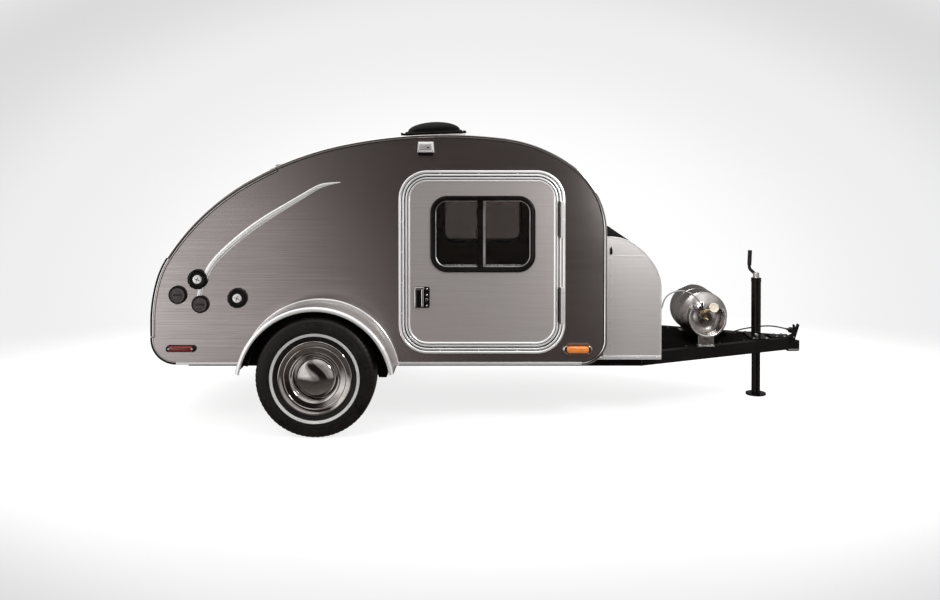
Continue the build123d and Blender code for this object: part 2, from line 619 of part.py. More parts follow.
def box_profile(ins, back_x):
    """Closed side profile of the whole nose box, set in by ins, drawn in the open BuildLine."""
    arcs, top = box_arcs(ins)
    Line((back_x, BOX_BOTTOM_Z + ins), (BOX_FRONT_X - ins, BOX_BOTTOM_Z + ins))
    Line((BOX_FRONT_X - ins, BOX_BOTTOM_Z + ins), arcs[0][0])
    for a, m, b in arcs:
        ThreePointArc(a, m, b)
    Line(arcs[-1][2], (back_x, top - ins))
    Line((back_x, top - ins), (back_x, BOX_BOTTOM_Z + ins))


with BuildPart() as nose_box:
    with BuildSketch(side_plane(-1, -BOX_HALF_W)):
        with BuildLine():
            box_profile(0.0, BOX_REAR_X)
        make_face()
    extrude(amount=2 * BOX_HALF_W)
    with BuildSketch(side_plane(-1, -(BOX_HALF_W - BOX_T))):
        with BuildLine():
            box_profile(BOX_T, BOX_REAR_X + BOX_T)
        make_face()
    extrude(amount=2 * (BOX_HALF_W - BOX_T), mode=Mode.SUBTRACT)
    with Locations((840.0, 0, BOX_SPLIT_Z + 100.0)):
        Box(400.0, 2 * BOX_HALF_W + 20.0, 200.0, mode=Mode.SUBTRACT)
    # back plate that carries the lid hinge
    with BuildSketch(Plane.XY.offset(BOX_BOTTOM_Z)):
        with Locations(((BODY_FRONT_X + BOX_REAR_X) / 2, 0)):
            Rectangle(BOX_REAR_X - BODY_FRONT_X, 2 * BOX_HALF_W)
    extrude(amount=1112.0 - BOX_BOTTOM_Z)
save(nose_box, "nose_box")

LID_X0 = BOX_REAR_X + 6.0
with BuildPart() as nose_box_lid:
    with BuildSketch(side_plane(-1, -BOX_HALF_W)):
        with BuildLine():
            box_profile(0.0, LID_X0)
        make_face()
    extrude(amount=2 * BOX_HALF_W)
    with BuildSketch(side_plane(-1, -(BOX_HALF_W - BOX_T))):
        with BuildLine():
            box_profile(BOX_T, LID_X0 + BOX_T)
        make_face()
    extrude(amount=2 * (BOX_HALF_W - BOX_T), mode=Mode.SUBTRACT)
    with Locations((840.0, 0, (BOX_SPLIT_Z + BOX_LID_GAP + BOX_BOTTOM_Z) / 2 - 10.0)):
        Box(400.0, 2 * BOX_HALF_W + 20.0, BOX_SPLIT_Z + BOX_LID_GAP - BOX_BOTTOM_Z + 20.0, mode=Mode.SUBTRACT)
save(nose_box_lid, "nose_box_lid")

# ================================================================== LP tank
with BuildPart() as lp_tank:
    with BuildSketch(Plane(origin=(TANK_X, 0, TANK_Z), x_dir=(0, 1, 0), z_dir=(1, 0, 0))):
        # profile in (Y, radius)
        with BuildLine():
            Line((TANK_Y0 - 62.0, 0.0), (TANK_Y1 + 62.0, 0.0))
            Line((TANK_Y1 + 62.0, 0.0), (TANK_Y1 + 62.0, 20.0))
            ThreePointArc((TANK_Y1 + 62.0, 20.0), (TANK_Y1 + 48.0, 95.0), (TANK_Y1, TANK_R))
            Line((TANK_Y1, TANK_R), (TANK_Y0, TANK_R))
            ThreePointArc((TANK_Y0, TANK_R), (TANK_Y0 - 48.0, 95.0), (TANK_Y0 - 62.0, 20.0))
            Line((TANK_Y0 - 62.0, 20.0), (TANK_Y0 - 62.0, 0.0))
        make_face()
    revolve(axis=Axis((TANK_X, 0, TANK_Z), (0, 1, 0)))
    # guard collar, open at the top
    with BuildSketch(side_plane(-1, 228.0)):
        c30, s30 = math.cos(math.radians(30)), math.sin(math.radians(30))
        with BuildLine():
            ThreePointArc((TANK_X - COLLAR_R * c30, TANK_Z + COLLAR_R * s30), (TANK_X, TANK_Z - COLLAR_R),
                          (TANK_X + COLLAR_R * c30, TANK_Z + COLLAR_R * s30))
            Line((TANK_X + COLLAR_R * c30, TANK_Z + COLLAR_R * s30), (TANK_X + (COLLAR_R - 5.0) * c30, TANK_Z + (COLLAR_R - 5.0) * s30))
            ThreePointArc((TANK_X + (COLLAR_R - 5.0) * c30, TANK_Z + (COLLAR_R - 5.0) * s30), (TANK_X, TANK_Z - COLLAR_R + 5.0),
                          (TANK_X - (COLLAR_R - 5.0) * c30, TANK_Z + (COLLAR_R - 5.0) * s30))
            Line((TANK_X - (COLLAR_R - 5.0) * c30, TANK_Z + (COLLAR_R - 5.0) * s30), (TANK_X - COLLAR_R * c30, TANK_Z + COLLAR_R * s30))
        make_face()
    extrude(amount=84.0)
    # near foot: bracket from the tongue rail up to the collar
    with Locations((1345.0, -291.0, (RAIL_TOP_Z + TANK_Z - COLLAR_R + 6.0) / 2)):
        Box(90.0, 34.0, TANK_Z - COLLAR_R + 6.0 - RAIL_TOP_Z)
    # far foot ring and its bracket on the deck
    with BuildSketch(side_plane(-1, -TANK_Y1 - 110.0)):
        with Locations((TANK_X, TANK_Z)):
            Circle(RING_R)
            Circle(RING_R - 5.0, mode=Mode.SUBTRACT)
    extrude(amount=85.0)
    with Locations((1345.0, 229.0, (DECK_TOP_Z + TANK_Z - RING_R + 4.0) / 2)):
        Box(90.0, 32.0, TANK_Z - RING_R + 4.0 - DECK_TOP_Z)
save(lp_tank, "lp_tank")

VALVE_TOP_Z = 598.0
with BuildPart() as tank_valve:
    with Locations((1334.0, -276.0, 575.0)):
        Box(34.0, 56.0, 42.0)
    with BuildSketch(Plane.XY.offset(585.0)):
        with Locations((1322.0, -296.0)):
            Circle(8.0)
    extrude(amount=VALVE_TOP_Z - 585.0)
    add(lp_tank.part, mode=Mode.SUBTRACT)
save(tank_valve, "tank_valve")

# ================================================================== cords
def cord(points, dia, name):
    """Tube along straight runs joined by tangent arcs; prints its radii."""
    pts = [Vector(*p) for p in points]
    runs = [(pts[i + 1] - pts[i]).length for i in range(len(pts) - 1)]
    radii = []
    for i in range(1, len(pts) - 1):
        a, b = pts[i] - pts[i - 1], pts[i + 1] - pts[i]
        turn = math.radians(a.get_angle(b))
        radii.append(0.45 * min(runs[i - 1], runs[i]) / math.tan(turn / 2))
    with BuildPart() as tube:
        with BuildLine() as path:
            FilletPolyline(*[tuple(p) for p in pts], radius=radii)
        with BuildSketch(Plane(origin=path.line @ 0, z_dir=path.line % 0)):
            Circle(dia / 2)
        sweep()
    length = sum(e.length for e in path.edges())
    print(name, "length", round(length, 1), "runs", [round(r, 1) for r in runs],
          "radii", [round(r, 1) for r in radii],
          "volume ratio", round(tube.part.volume / (math.pi * dia * dia / 4 * length), 4))
    save(tube, name)


HOSE_D = 9.0
HOSE = [(1003.0, -305.0, 606.0), (1034.0, -305.0, 606.0), (1064.0, -306.0, 628.0), (1072.0, -308.0, 672.0),
        (1100.0, -310.0, 716.0), (1150.0, -312.0, 738.0), (1206.0, -313.0, 741.0), (1258.0, -313.0, 718.0),
        (1298.0, -308.0, 680.0), (1322.0, -296.0, 636.0), (1322.0, -296.0, VALVE_TOP_Z)]
cord(HOSE, HOSE_D, "lp_hose")

CABLE_D = 9.0
CABLE = [(1558.0, 44.0, 401.0), (1590.0, 44.0, 401.0), (1634.0, 45.0, 418.0), (1690.0, 46.0, 431.0),
         (1752.0, 47.0, 439.0), (1812.0, 47.0, 447.0), (1864.0, 46.0, 448.0), (1912.0, 45.0, 441.0),
         (1953.0, 44.0, 432.0), (1984.0, 43.0, 424.0)]
cord(CABLE, CABLE_D, "power_cable")

with BuildPart() as cable_plug:
    with BuildSketch(Plane(origin=CABLE[-1], z_dir=Vector(*CABLE[-1]) - Vector(*CABLE[-2]))):
        Circle(18.0)
    extrude(amount=48.0)
save(cable_plug, "cable_plug")

# ================================================================== roof vent
VENT_TILT = 2.3              # the vent leans back with the roof
VENT_FLANGE_Z = 1731.0       # top of the base flange, at its middle
VENT_RIM_Z, VENT_RIM_H = 1736.5, 18.0
VENT_BAND_H, VENT_CHORD, VENT_TOP_Z = 9.0, 366.0, 1820.5
VENT_WALL = 5.0


def vent_plane(z):
    c, s = math.cos(math.radians(VENT_TILT)), math.sin(math.radians(VENT_TILT))
    return Plane(origin=(VENT_X, 0, z), x_dir=(c, 0, s), z_dir=(-s, 0, c))


def dome_profile(ins):
    """Section of the domed lid above its rim: upright band and arc, drawn in the open BuildLine."""
    half = VENT_CHORD / 2 - ins
    top = VENT_TOP_Z - VENT_RIM_Z - ins
    low = 0.0 if ins == 0 else -2.0
    Line((-half, low), (half, low))
    Line((half, low), (half, VENT_RIM_H + VENT_BAND_H))
    ThreePointArc((half, VENT_RIM_H + VENT_BAND_H), (0.0, top), (-half, VENT_RIM_H + VENT_BAND_H))
    Line((-half, VENT_RIM_H + VENT_BAND_H), (-half, low))


def dome_planes():
    vp = vent_plane(VENT_RIM_Z)
    return (Plane(origin=vp.origin, x_dir=vp.x_dir, z_dir=vp.x_dir.cross(vp.z_dir)),
            Plane(origin=vp.origin, x_dir=(0, 1, 0), z_dir=Vector(0, 1, 0).cross(vp.z_dir)))


with BuildPart() as vent_base:
    with BuildSketch(vent_plane(1700.0)):
        Rectangle(2 * VENT_HALF - 20.0, 2 * VENT_HALF - 20.0)
        Rectangle(VENT_HOLE - 26.0, VENT_HOLE - 26.0, mode=Mode.SUBTRACT)
    extrude(amount=VENT_FLANGE_Z - 1700.0)
    # upstand inside the lid
    with BuildSketch(vent_plane(VENT_FLANGE_Z)):
        Rectangle(VENT_HOLE - 6.0, VENT_HOLE - 6.0)
        Rectangle(VENT_HOLE - 26.0, VENT_HOLE - 26.0, mode=Mode.SUBTRACT)
    extrude(amount=11.0)
    # throat down through the roof
    with BuildSketch(Plane.XY.offset(1685.0)):
        with Locations((VENT_X, 0)):
            Rectangle(VENT_HOLE - 4.0, VENT_HOLE - 4.0)
            Rectangle(VENT_HOLE - 26.0, VENT_HOLE - 26.0, mode=Mode.SUBTRACT)
    extrude(amount=35.0)
    add(roof_shell.part, mode=Mode.SUBTRACT)
save(vent_base, "vent_base")


def dome(builder_ins):
    """Solid dome set in by builder_ins, with the rim's own space below it."""
    plane_x, plane_y = dome_planes()
    with BuildPart() as d:
        with BuildSketch(plane_x):
            with BuildLine():
                dome_profile(builder_ins)
            make_face()
        extrude(amount=VENT_CHORD / 2 - builder_ins, both=True)
        with BuildSketch(plane_y):
            with BuildLine():
                dome_profile(builder_ins)
            make_face()
        extrude(amount=VENT_CHORD / 2 - builder_ins, both=True, mode=Mode.INTERSECT)
        with BuildSketch(vent_plane(VENT_RIM_Z)):
            RectangleRounded(2 * (VENT_HALF - builder_ins * 1.6), 2 * (VENT_HALF - builder_ins * 1.6),
                             24.0 - builder_ins * 1.6)
        extrude(amount=VENT_RIM_H - builder_ins)
    return d.part


dome_out, dome_in = dome(0.0), dome(VENT_WALL)
with BuildPart() as vent_lid:
    add(dome_out)
    add(dome_in, mode=Mode.SUBTRACT)
save(vent_lid, "vent_lid")

# ================================================================== small fittings on the side walls
# side ports: (x, z, outer radius)
PORTS = [(-1757.0, 880.0, 57.0), (-1875.0, 788.0, 52.0), (-1742.0, 733.0, 50.0), (-1523.0, 769.0, 57.0)]
with BuildPart() as side_ports:
    for x, z, r in PORTS:
        with BuildSketch(side_plane(-1, BODY_HALF_W)):
            with Locations((x, z)):
                Circle(r)
        extrude(amount=9.0)
save(side_ports, "side_ports")

# side marker lamps: (node, x, z, length, height)
TAIL_LAMP_Y, TAIL_LAMP_Z = 585.0, 456.0
for node, x, z, w, h in (("amber_markers", 481.0, 466.0, 168.0, 66.0), ("red_lamps", -1857.0, 470.0, 173.0, 35.0)):
    with BuildPart() as lamp:
        for side, sg in SIDES:
            with BuildSketch(side_plane(sg, BODY_HALF_W)):
                with Locations((x, z)):
                    SlotOverall(w, h)
            extrude(amount=out(sg, 20.0))
        if node == "red_lamps":
            # tail lamps on the curved tail sill
            for side, sg in SIDES:
                with BuildSketch(Plane(origin=(-2037.0, sg * TAIL_LAMP_Y, TAIL_LAMP_Z), x_dir=(0, -1, 0),
                                       z_dir=(-1, 0, 0))):
                    SlotOverall(168.0, 60.0)
                extrude(amount=-60.0)
            add(floor.part, mode=Mode.SUBTRACT)
    save(lamp, node)

print("hatch hinge", round(HINGE_X, 2), round(HINGE_Z, 2), "normal", HATCH_N, "front", round(BODY_FRONT_X, 2), round(FRONT_TOP_Z, 1))
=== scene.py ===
import json
import math
import random

import bmesh
import bpy
from mathutils import Matrix, Vector

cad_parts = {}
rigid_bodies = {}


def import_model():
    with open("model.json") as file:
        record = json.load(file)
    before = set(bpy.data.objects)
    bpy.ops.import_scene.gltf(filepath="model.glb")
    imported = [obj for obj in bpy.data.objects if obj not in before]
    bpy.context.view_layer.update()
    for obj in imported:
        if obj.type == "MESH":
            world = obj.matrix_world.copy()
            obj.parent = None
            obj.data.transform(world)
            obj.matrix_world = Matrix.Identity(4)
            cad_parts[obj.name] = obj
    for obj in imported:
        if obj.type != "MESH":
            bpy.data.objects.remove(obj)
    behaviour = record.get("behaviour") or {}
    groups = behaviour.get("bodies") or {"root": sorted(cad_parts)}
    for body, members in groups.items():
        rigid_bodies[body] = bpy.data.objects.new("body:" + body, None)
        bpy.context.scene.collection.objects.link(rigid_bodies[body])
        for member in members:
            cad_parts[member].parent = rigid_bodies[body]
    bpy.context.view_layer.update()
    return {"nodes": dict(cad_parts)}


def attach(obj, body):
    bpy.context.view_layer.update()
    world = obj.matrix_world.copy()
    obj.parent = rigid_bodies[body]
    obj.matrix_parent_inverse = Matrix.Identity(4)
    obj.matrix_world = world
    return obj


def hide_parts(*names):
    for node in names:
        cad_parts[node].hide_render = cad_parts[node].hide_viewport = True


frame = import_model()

scene = bpy.context.scene
rnd = random.Random(11)
nodes = frame["nodes"]
SIDES = (("right", -1), ("left", 1))
HALF_W = 0.762

# ---------------------------------------------------------------- camera
PITCH = 0.8
FOCAL_PX = 969.0
cam_data = bpy.data.cameras.new("camera")
cam = bpy.data.objects.new("camera", cam_data)
scene.collection.objects.link(cam)
scene.camera = cam
cam.location = (-0.0945, -6.462, 1.706)
cam.rotation_euler = (math.radians(90.0 - PITCH), 0.0, 0.0)
cam_data.sensor_width = 36.0
cam_data.lens = FOCAL_PX / 940.0 * 36.0
cam_data.shift_x = -10.0 / 940.0
cam_data.shift_y = (139.0 - 300.0 + FOCAL_PX * math.tan(math.radians(PITCH))) / 940.0
cam_data.clip_end = 400.0


# ---------------------------------------------------------------- shader helpers
class Mat:
    """A node material with short calls for the nodes used here."""

    def __init__(self, name):
        self.m = bpy.data.materials.new(name)
        self.m.use_nodes = True
        self.nt = self.m.node_tree
        self.b = self.nt.nodes["Principled BSDF"]
        self.out = self.nt.nodes["Material Output"]
        self.tc = self.nt.nodes.new("ShaderNodeTexCoord")

    def n(self, kind, **kw):
        x = self.nt.nodes.new("ShaderNode" + kind)
        for k, v in kw.items():
            setattr(x, k, v)
        return x

    def l(self, a, b):
        self.nt.links.new(a, b)

    def math(self, op, a, b=None, clamp=False):
        x = self.n("Math", operation=op, use_clamp=clamp)
        for i, v in enumerate((a, b)):
            if v is None:
                continue
            if isinstance(v, (int, float)):
                x.inputs[i].default_value = v
            else:
                self.l(v, x.inputs[i])
        return x.outputs[0]

    def noise(self, scale=(1, 1, 1), s=1.0, detail=5.0, rough=0.55, offset=(0, 0, 0), coord="Object"):
        mp = self.n("Mapping")
        mp.inputs["Scale"].default_value = scale
        mp.inputs["Location"].default_value = offset
        self.l(self.tc.outputs[coord], mp.inputs["Vector"])
        x = self.n("TexNoise")
        x.inputs["Scale"].default_value = s
        x.inputs["Detail"].default_value = detail
        x.inputs["Roughness"].default_value = rough
        self.l(mp.outputs[0], x.inputs["Vector"])
        return x.outputs["Fac"]

    def voronoi(self, scale=(1, 1, 1), s=1.0, feature="F1"):
        mp = self.n("Mapping")
        mp.inputs["Scale"].default_value = scale
        self.l(self.tc.outputs["Object"], mp.inputs["Vector"])
        x = self.n("TexVoronoi", feature=feature)
        x.inputs["Scale"].default_value = s
        self.l(mp.outputs[0], x.inputs["Vector"])
        return x.outputs["Distance"]

    def ramp(self, fac, stops):
        x = self.n("ValToRGB")
        e = x.color_ramp.elements
        while len(e) < len(stops):
            e.new(0.5)
        for i, (p, c) in enumerate(stops):
            e[i].position = p
            e[i].color = (*c, 1.0) if len(c) == 3 else c
        self.l(fac, x.inputs["Fac"])
        return x.outputs["Color"]

    def span(self, fac, lo, hi, a=0.0, b=1.0):
        x = self.n("MapRange")
        x.inputs["From Min"].default_value = lo
        x.inputs["From Max"].default_value = hi
        x.inputs["To Min"].default_value = a
        x.inputs["To Max"].default_value = b
        self.l(fac, x.inputs["Value"])
        return x.outputs["Result"]

    def bump(self, h, strength=0.2, dist=0.001, bsdf=None, normal=None):
        x = self.n("Bump")
        x.inputs["Strength"].default_value = strength
        x.inputs["Distance"].default_value = dist
        self.l(h, x.inputs["Height"])
        if normal is not None:
            self.l(normal, x.inputs["Normal"])
        self.l(x.outputs[0], (bsdf or self.b).inputs["Normal"])
        return x.outputs[0]

    def set(self, bsdf=None, **kw):
        b = bsdf or self.b
        for k, v in kw.items():
            b.inputs[k.replace("_", " ")].default_value = v
        return self

    def xyz(self):
        x = self.n("SeparateXYZ")
        self.l(self.tc.outputs["Object"], x.inputs[0])
        return x.outputs

    def wood(self, bsdf, along="x", tint=(0.60, 0.42, 0.25), dark=(0.38, 0.23, 0.12)):
        sc = {"x": (1.2, 9.0, 9.0), "z": (9.0, 9.0, 1.2), "y": (9.0, 1.2, 9.0)}[along]
        g = self.noise(sc, 3.0, 8.0, 0.65)
        fine = self.noise(tuple(v * 8 for v in sc), 4.0, 4.0, 0.7)
        mix = self.math("ADD", self.math("MULTIPLY", g, 0.75), self.math("MULTIPLY", fine, 0.25))
        self.l(self.ramp(mix, [(0.30, dark), (0.52, tint), (0.75, tuple(min(1, v * 1.18) for v in tint))]),
               bsdf.inputs["Base Color"])
        self.l(self.span(mix, 0.3, 0.7, 0.34, 0.52), bsdf.inputs["Roughness"])
        self.bump(fine, 0.12, 0.0006, bsdf)


def brushed(name, dark, light, rough=(0.24, 0.36), grain=(1.4, 1.4, 150.0), aniso=0.5, metallic=1.0, mask=None,
            bump=0.10, tangent="Z", patch=0.5, rotate=0.0):
    """Brushed aluminium: thin grain lines along one way and soft patches."""
    k = Mat(name)
    fine = k.noise(grain, 1.0, 7.0, 0.62)
    fine2 = k.noise(tuple(v * 3.1 for v in grain), 1.0, 5.0, 0.6, (3.1, 1.7, 9.2))
    broad = k.noise((1.1, 1.1, 1.6), 1.3, 4.0, 0.5)
    line = k.math("ADD", k.math("MULTIPLY", fine, 0.55), k.math("MULTIPLY", fine2, 0.45))
    tone = k.math("ADD", k.math("MULTIPLY", line, 1.0 - patch * 0.5), k.math("MULTIPLY", broad, patch * 0.5))
    k.l(k.ramp(tone, [(0.34, dark), (0.64, light)]), k.b.inputs["Base Color"])
    k.l(k.span(tone, 0.34, 0.64, rough[1], rough[0]), k.b.inputs["Roughness"])
    k.set(Metallic=metallic, Anisotropic=aniso, Anisotropic_Rotation=rotate)
    t = k.n("Tangent", direction_type="RADIAL", axis=tangent)
    k.l(t.outputs[0], k.b.inputs["Tangent"])
    k.bump(line, bump, 0.0006)
    if mask:
        inner = k.n("BsdfPrincipled")
        k.wood(inner, "x" if mask[0] == "wall" else "y")
        inner.inputs["Coat Weight"].default_value = 0.15
        if mask[0] == "wall":
            fac = k.math("LESS_THAN", k.math("ABSOLUTE", k.xyz()[1]), mask[1])
        else:
            v = k.n("VectorMath", operation="SUBTRACT")
            k.l(k.tc.outputs["Object"], v.inputs[0])
            v.inputs[1].default_value = mask[1]
            d = k.n("VectorMath", operation="DOT_PRODUCT")
            k.l(v.outputs[0], d.inputs[0])
            k.l(k.tc.outputs["Normal"], d.inputs[1])
            fac = k.math("LESS_THAN", d.outputs["Value"], 0.0)
        mx = k.n("MixShader")
        k.l(fac, mx.inputs[0])
        k.l(k.b.outputs[0], mx.inputs[1])
        k.l(inner.outputs[0], mx.inputs[2])
        k.l(mx.outputs[0], k.out.inputs["Surface"])
    return k.m


def plain(name, dark, light, rough=(0.3, 0.5), metallic=0.0, scale=30.0, bump=0.05, dist=0.0005, coat=0.0,
          smudge=6.0, spec=0.5):
    """Paint, plastic, rubber or cast metal: speckle, soft smudges and small bump."""
    k = Mat(name)
    a = k.noise((1, 1, 1), scale, 6.0, 0.6)
    s = k.noise((1, 1, 1), smudge, 3.0, 0.5, (4, 2, 7))
    t = k.math("ADD", k.math("MULTIPLY", a, 0.5), k.math("MULTIPLY", s, 0.5))
    k.l(k.ramp(t, [(0.36, dark), (0.62, light)]), k.b.inputs["Base Color"])
    k.l(k.span(t, 0.36, 0.62, rough[0], rough[1]), k.b.inputs["Roughness"])
    k.set(Metallic=metallic, Coat_Weight=coat, Specular_IOR_Level=spec)
    k.bump(a, bump, dist)
    return k.m


# ---------------------------------------------------------------- materials
M = {}
M["body"] = brushed("body_side", (0.45, 0.415, 0.405), (0.58, 0.54, 0.53), (0.17, 0.25), (1.4, 1.4, 150.0), 0.70,
                    mask=("wall", 0.7243), bump=0.07, rotate=0.25)
M["roof"] = brushed("body_roof", (0.50, 0.49, 0.48), (0.70, 0.69, 0.68), (0.24, 0.34), (1.4, 150.0, 1.4), 0.4,
                    tangent="Y", mask=("shell", (-0.75, 0.0, 0.9)))
M["hatch"] = brushed("body_hatch", (0.50, 0.49, 0.48), (0.70, 0.69, 0.68), (0.24, 0.34), (1.4, 150.0, 1.4), 0.4,
                     tangent="Y", mask=("shell", (-1.0, 0.0, 0.55)))
# door skin: a lighter base and less metal than the body's aluminium, a painted sheen for the door's brighter look in
# the light
M["door"] = brushed("door_skin", (0.55, 0.51, 0.50), (0.70, 0.66, 0.65), (0.34, 0.44), (1.4, 1.4, 150.0), 0.6,
                    metallic=0.78, mask=("wall", 0.7285), bump=0.07, patch=0.7, rotate=0.25)
M["box"] = brushed("nose_box_skin", (0.74, 0.72, 0.71), (0.92, 0.90, 0.885), (0.40, 0.50), (2.0, 2.0, 90.0), 0.3,
                   metallic=0.93, patch=0.8)
M["chrome"] = plain("chrome_trim", (0.62, 0.605, 0.59), (0.76, 0.75, 0.74), (0.04, 0.10), 1.0, 40.0, 0.012, 0.0003)
# hubcap chrome: a darker, browner copy of the chrome trim, painted shade and a painted warm reflection on the caps
M["cap"] = plain("cap_chrome_painted_shade", (0.29, 0.272, 0.258), (0.42, 0.40, 0.385), (0.03, 0.09), 1.0, 40.0, 0.010, 0.0003)
M["satin"] = plain("satin_trim", (0.72, 0.71, 0.70), (0.88, 0.875, 0.87), (0.18, 0.30), 1.0, 60.0, 0.03, 0.0003)
M["fender"] = plain("fender_metal", (0.62, 0.60, 0.59), (0.70, 0.68, 0.67), (0.28, 0.34), 0.85, 25.0, 0.006, 0.0002)
M["bright"] = plain("bright_aluminium", (0.87, 0.865, 0.86), (0.94, 0.937, 0.934), (0.20, 0.26), 0.55, 40.0, 0.006, 0.0002)
M["black"] = plain("black_paint", (0.004, 0.0032, 0.003), (0.010, 0.0085, 0.008), (0.32, 0.50), 0.0, 45.0, 0.10,
                   0.0006, spec=0.10)
M["blackgloss"] = plain("black_gloss", (0.002, 0.0016, 0.0015), (0.008, 0.0066, 0.006), (0.14, 0.26), 0.0, 30.0, 0.03,
                        0.0004, spec=0.16)
M["rubber"] = plain("seal_rubber", (0.006, 0.005, 0.005), (0.018, 0.016, 0.015), (0.5, 0.7), 0.0, 80.0, 0.15, 0.0005,
                    spec=0.2)
M["tyre"] = plain("tyre_rubber", (0.0025, 0.0019, 0.0017), (0.013, 0.0105, 0.0095), (0.34, 0.52), 0.0, 60.0, 0.16, 0.0008,
                  smudge=9.0, spec=0.25)
M["white"] = plain("whitewall", (0.66, 0.65, 0.63), (0.84, 0.83, 0.81), (0.45, 0.6), 0.0, 30.0, 0.08, 0.0006)
M["plastic"] = plain("black_plastic", (0.006, 0.0045, 0.004), (0.018, 0.014, 0.013), (0.20, 0.34), 0.0, 90.0, 0.08,
                     0.0004, spec=0.45)
M["cover"] = plain("port_cover_gloss", (0.010, 0.006, 0.0055), (0.050, 0.035, 0.033), (0.10, 0.22), 0.0, 26.0, 0.06,
                   0.0006, spec=0.55)
M["pale"] = plain("pale_plastic", (0.66, 0.655, 0.64), (0.80, 0.795, 0.78), (0.32, 0.46), 0.0, 50.0, 0.05, 0.0004)
M["steel"] = plain("zinc_steel", (0.42, 0.41, 0.40), (0.62, 0.61, 0.60), (0.26, 0.44), 1.0, 35.0, 0.06, 0.0005)
M["tank"] = plain("tank_polished", (0.33, 0.312, 0.298), (0.52, 0.50, 0.485), (0.12, 0.22), 1.0, 22.0, 0.03, 0.0006)
M["tanklip"] = plain("tank_collar", (0.44, 0.425, 0.41), (0.64, 0.625, 0.61), (0.18, 0.30), 1.0, 30.0, 0.03, 0.0005)
M["brass"] = plain("brass", (0.20, 0.155, 0.095), (0.40, 0.32, 0.20), (0.22, 0.4), 1.0, 40.0, 0.05, 0.0004)
M["cream"] = plain("cream_plastic", (0.72, 0.66, 0.52), (0.86, 0.80, 0.66), (0.3, 0.45), 0.0, 50.0, 0.05, 0.0004)
M["rim"] = plain("rim_paint", (0.035, 0.032, 0.030), (0.075, 0.070, 0.066), (0.35, 0.5), 0.3, 50.0, 0.06, 0.0005)
M["spring"] = plain("spring_steel", (0.03, 0.027, 0.025), (0.075, 0.068, 0.062), (0.45, 0.65), 0.4, 60.0, 0.12, 0.0008)
M["deck"] = plain("deck_plate", (0.0018, 0.0014, 0.0012), (0.007, 0.0055, 0.005), (0.5, 0.65), 0.0, 40.0, 0.1, 0.0008,
                  spec=0.004)

k = Mat("hose_rubber")
a = k.noise((1, 1, 1), 300.0, 3.0)
k.l(k.ramp(a, [(0.35, (0.22, 0.215, 0.205)), (0.65, (0.40, 0.39, 0.375))]), k.b.inputs["Base Color"])
k.set(Roughness=0.55)
k.bump(a, 0.2, 0.0004)
M["hose"] = k.m
k = Mat("cable_sheath")
a = k.noise((1, 1, 1), 300.0, 3.0)
k.l(k.ramp(a, [(0.35, (0.020, 0.018, 0.018)), (0.65, (0.050, 0.046, 0.045))]), k.b.inputs["Base Color"])
k.set(Roughness=0.5)
k.bump(a, 0.2, 0.0004)
M["cable"] = k.m

k = Mat("varnished_ply")
k.wood(k.b, "x")
k.set(Coat_Weight=0.2)
M["ply"] = k.m
k = Mat("varnished_ply_upright")
k.wood(k.b, "z", (0.55, 0.37, 0.21), (0.34, 0.20, 0.10))
k.set(Coat_Weight=0.2)
M["ply_z"] = k.m
k = Mat("dark_lining")
k.wood(k.b, "x", (0.30, 0.20, 0.12), (0.17, 0.10, 0.055))
M["floor_ply"] = k.m

k = Mat("tinted_glass")
g = k.noise((1, 1, 1), 3.0, 2.0)
k.l(k.ramp(g, [(0.3, (0.23, 0.205, 0.195)), (0.7, (0.28, 0.255, 0.245))]), k.b.inputs["Base Color"])
k.set(Roughness=0.02, IOR=1.45, Transmission_Weight=1.0)
M["glass"] = k.m


def lens(name, deep, bright, glow):
    """Moulded lamp lens with ribs; lit softly from inside."""
    q = Mat(name)
    ribs = q.n("TexWave", wave_type="BANDS", bands_direction="X")
    ribs.inputs["Scale"].default_value = 55.0
    q.l(q.tc.outputs["Object"], ribs.inputs["Vector"])
    sp = q.noise((1, 1, 1), 60.0, 3.0)
    t = q.math("ADD", q.math("MULTIPLY", ribs.outputs["Fac"], 0.6), q.math("MULTIPLY", sp, 0.4))
    col = q.ramp(t, [(0.2, deep), (0.8, bright)])
    q.l(col, q.b.inputs["Base Color"])
    q.l(col, q.b.inputs["Emission Color"])
    q.set(Roughness=0.12, Coat_Weight=0.6, Emission_Strength=glow)
    q.bump(ribs.outputs["Fac"], 0.35, 0.0012)
    return q.m


M["amber"] = lens("amber_lens", (0.50, 0.11, 0.015), (0.90, 0.30, 0.06), 0.12)
M["amber_foot"] = lens("amber_lens_foot", (0.050, 0.020, 0.008), (0.14, 0.050, 0.016), 0.02)
M["red"] = lens("red_lens", (0.06, 0.002, 0.002), (0.26, 0.006, 0.006), 0.05)
M["clear"] = lens("clear_lens", (0.16, 0.15, 0.15), (0.52, 0.50, 0.49), 0.04)

k = Mat("smoked_dome")
a = k.noise((1, 1, 1), 8.0, 3.0)
k.l(k.ramp(a, [(0.35, (0.0008, 0.0007, 0.0006)), (0.65, (0.0026, 0.0022, 0.0020))]), k.b.inputs["Base Color"])
k.l(k.span(a, 0.35, 0.65, 0.10, 0.22), k.b.inputs["Roughness"])
k.set(Specular_IOR_Level=0.04)
M["dome"] = k.m

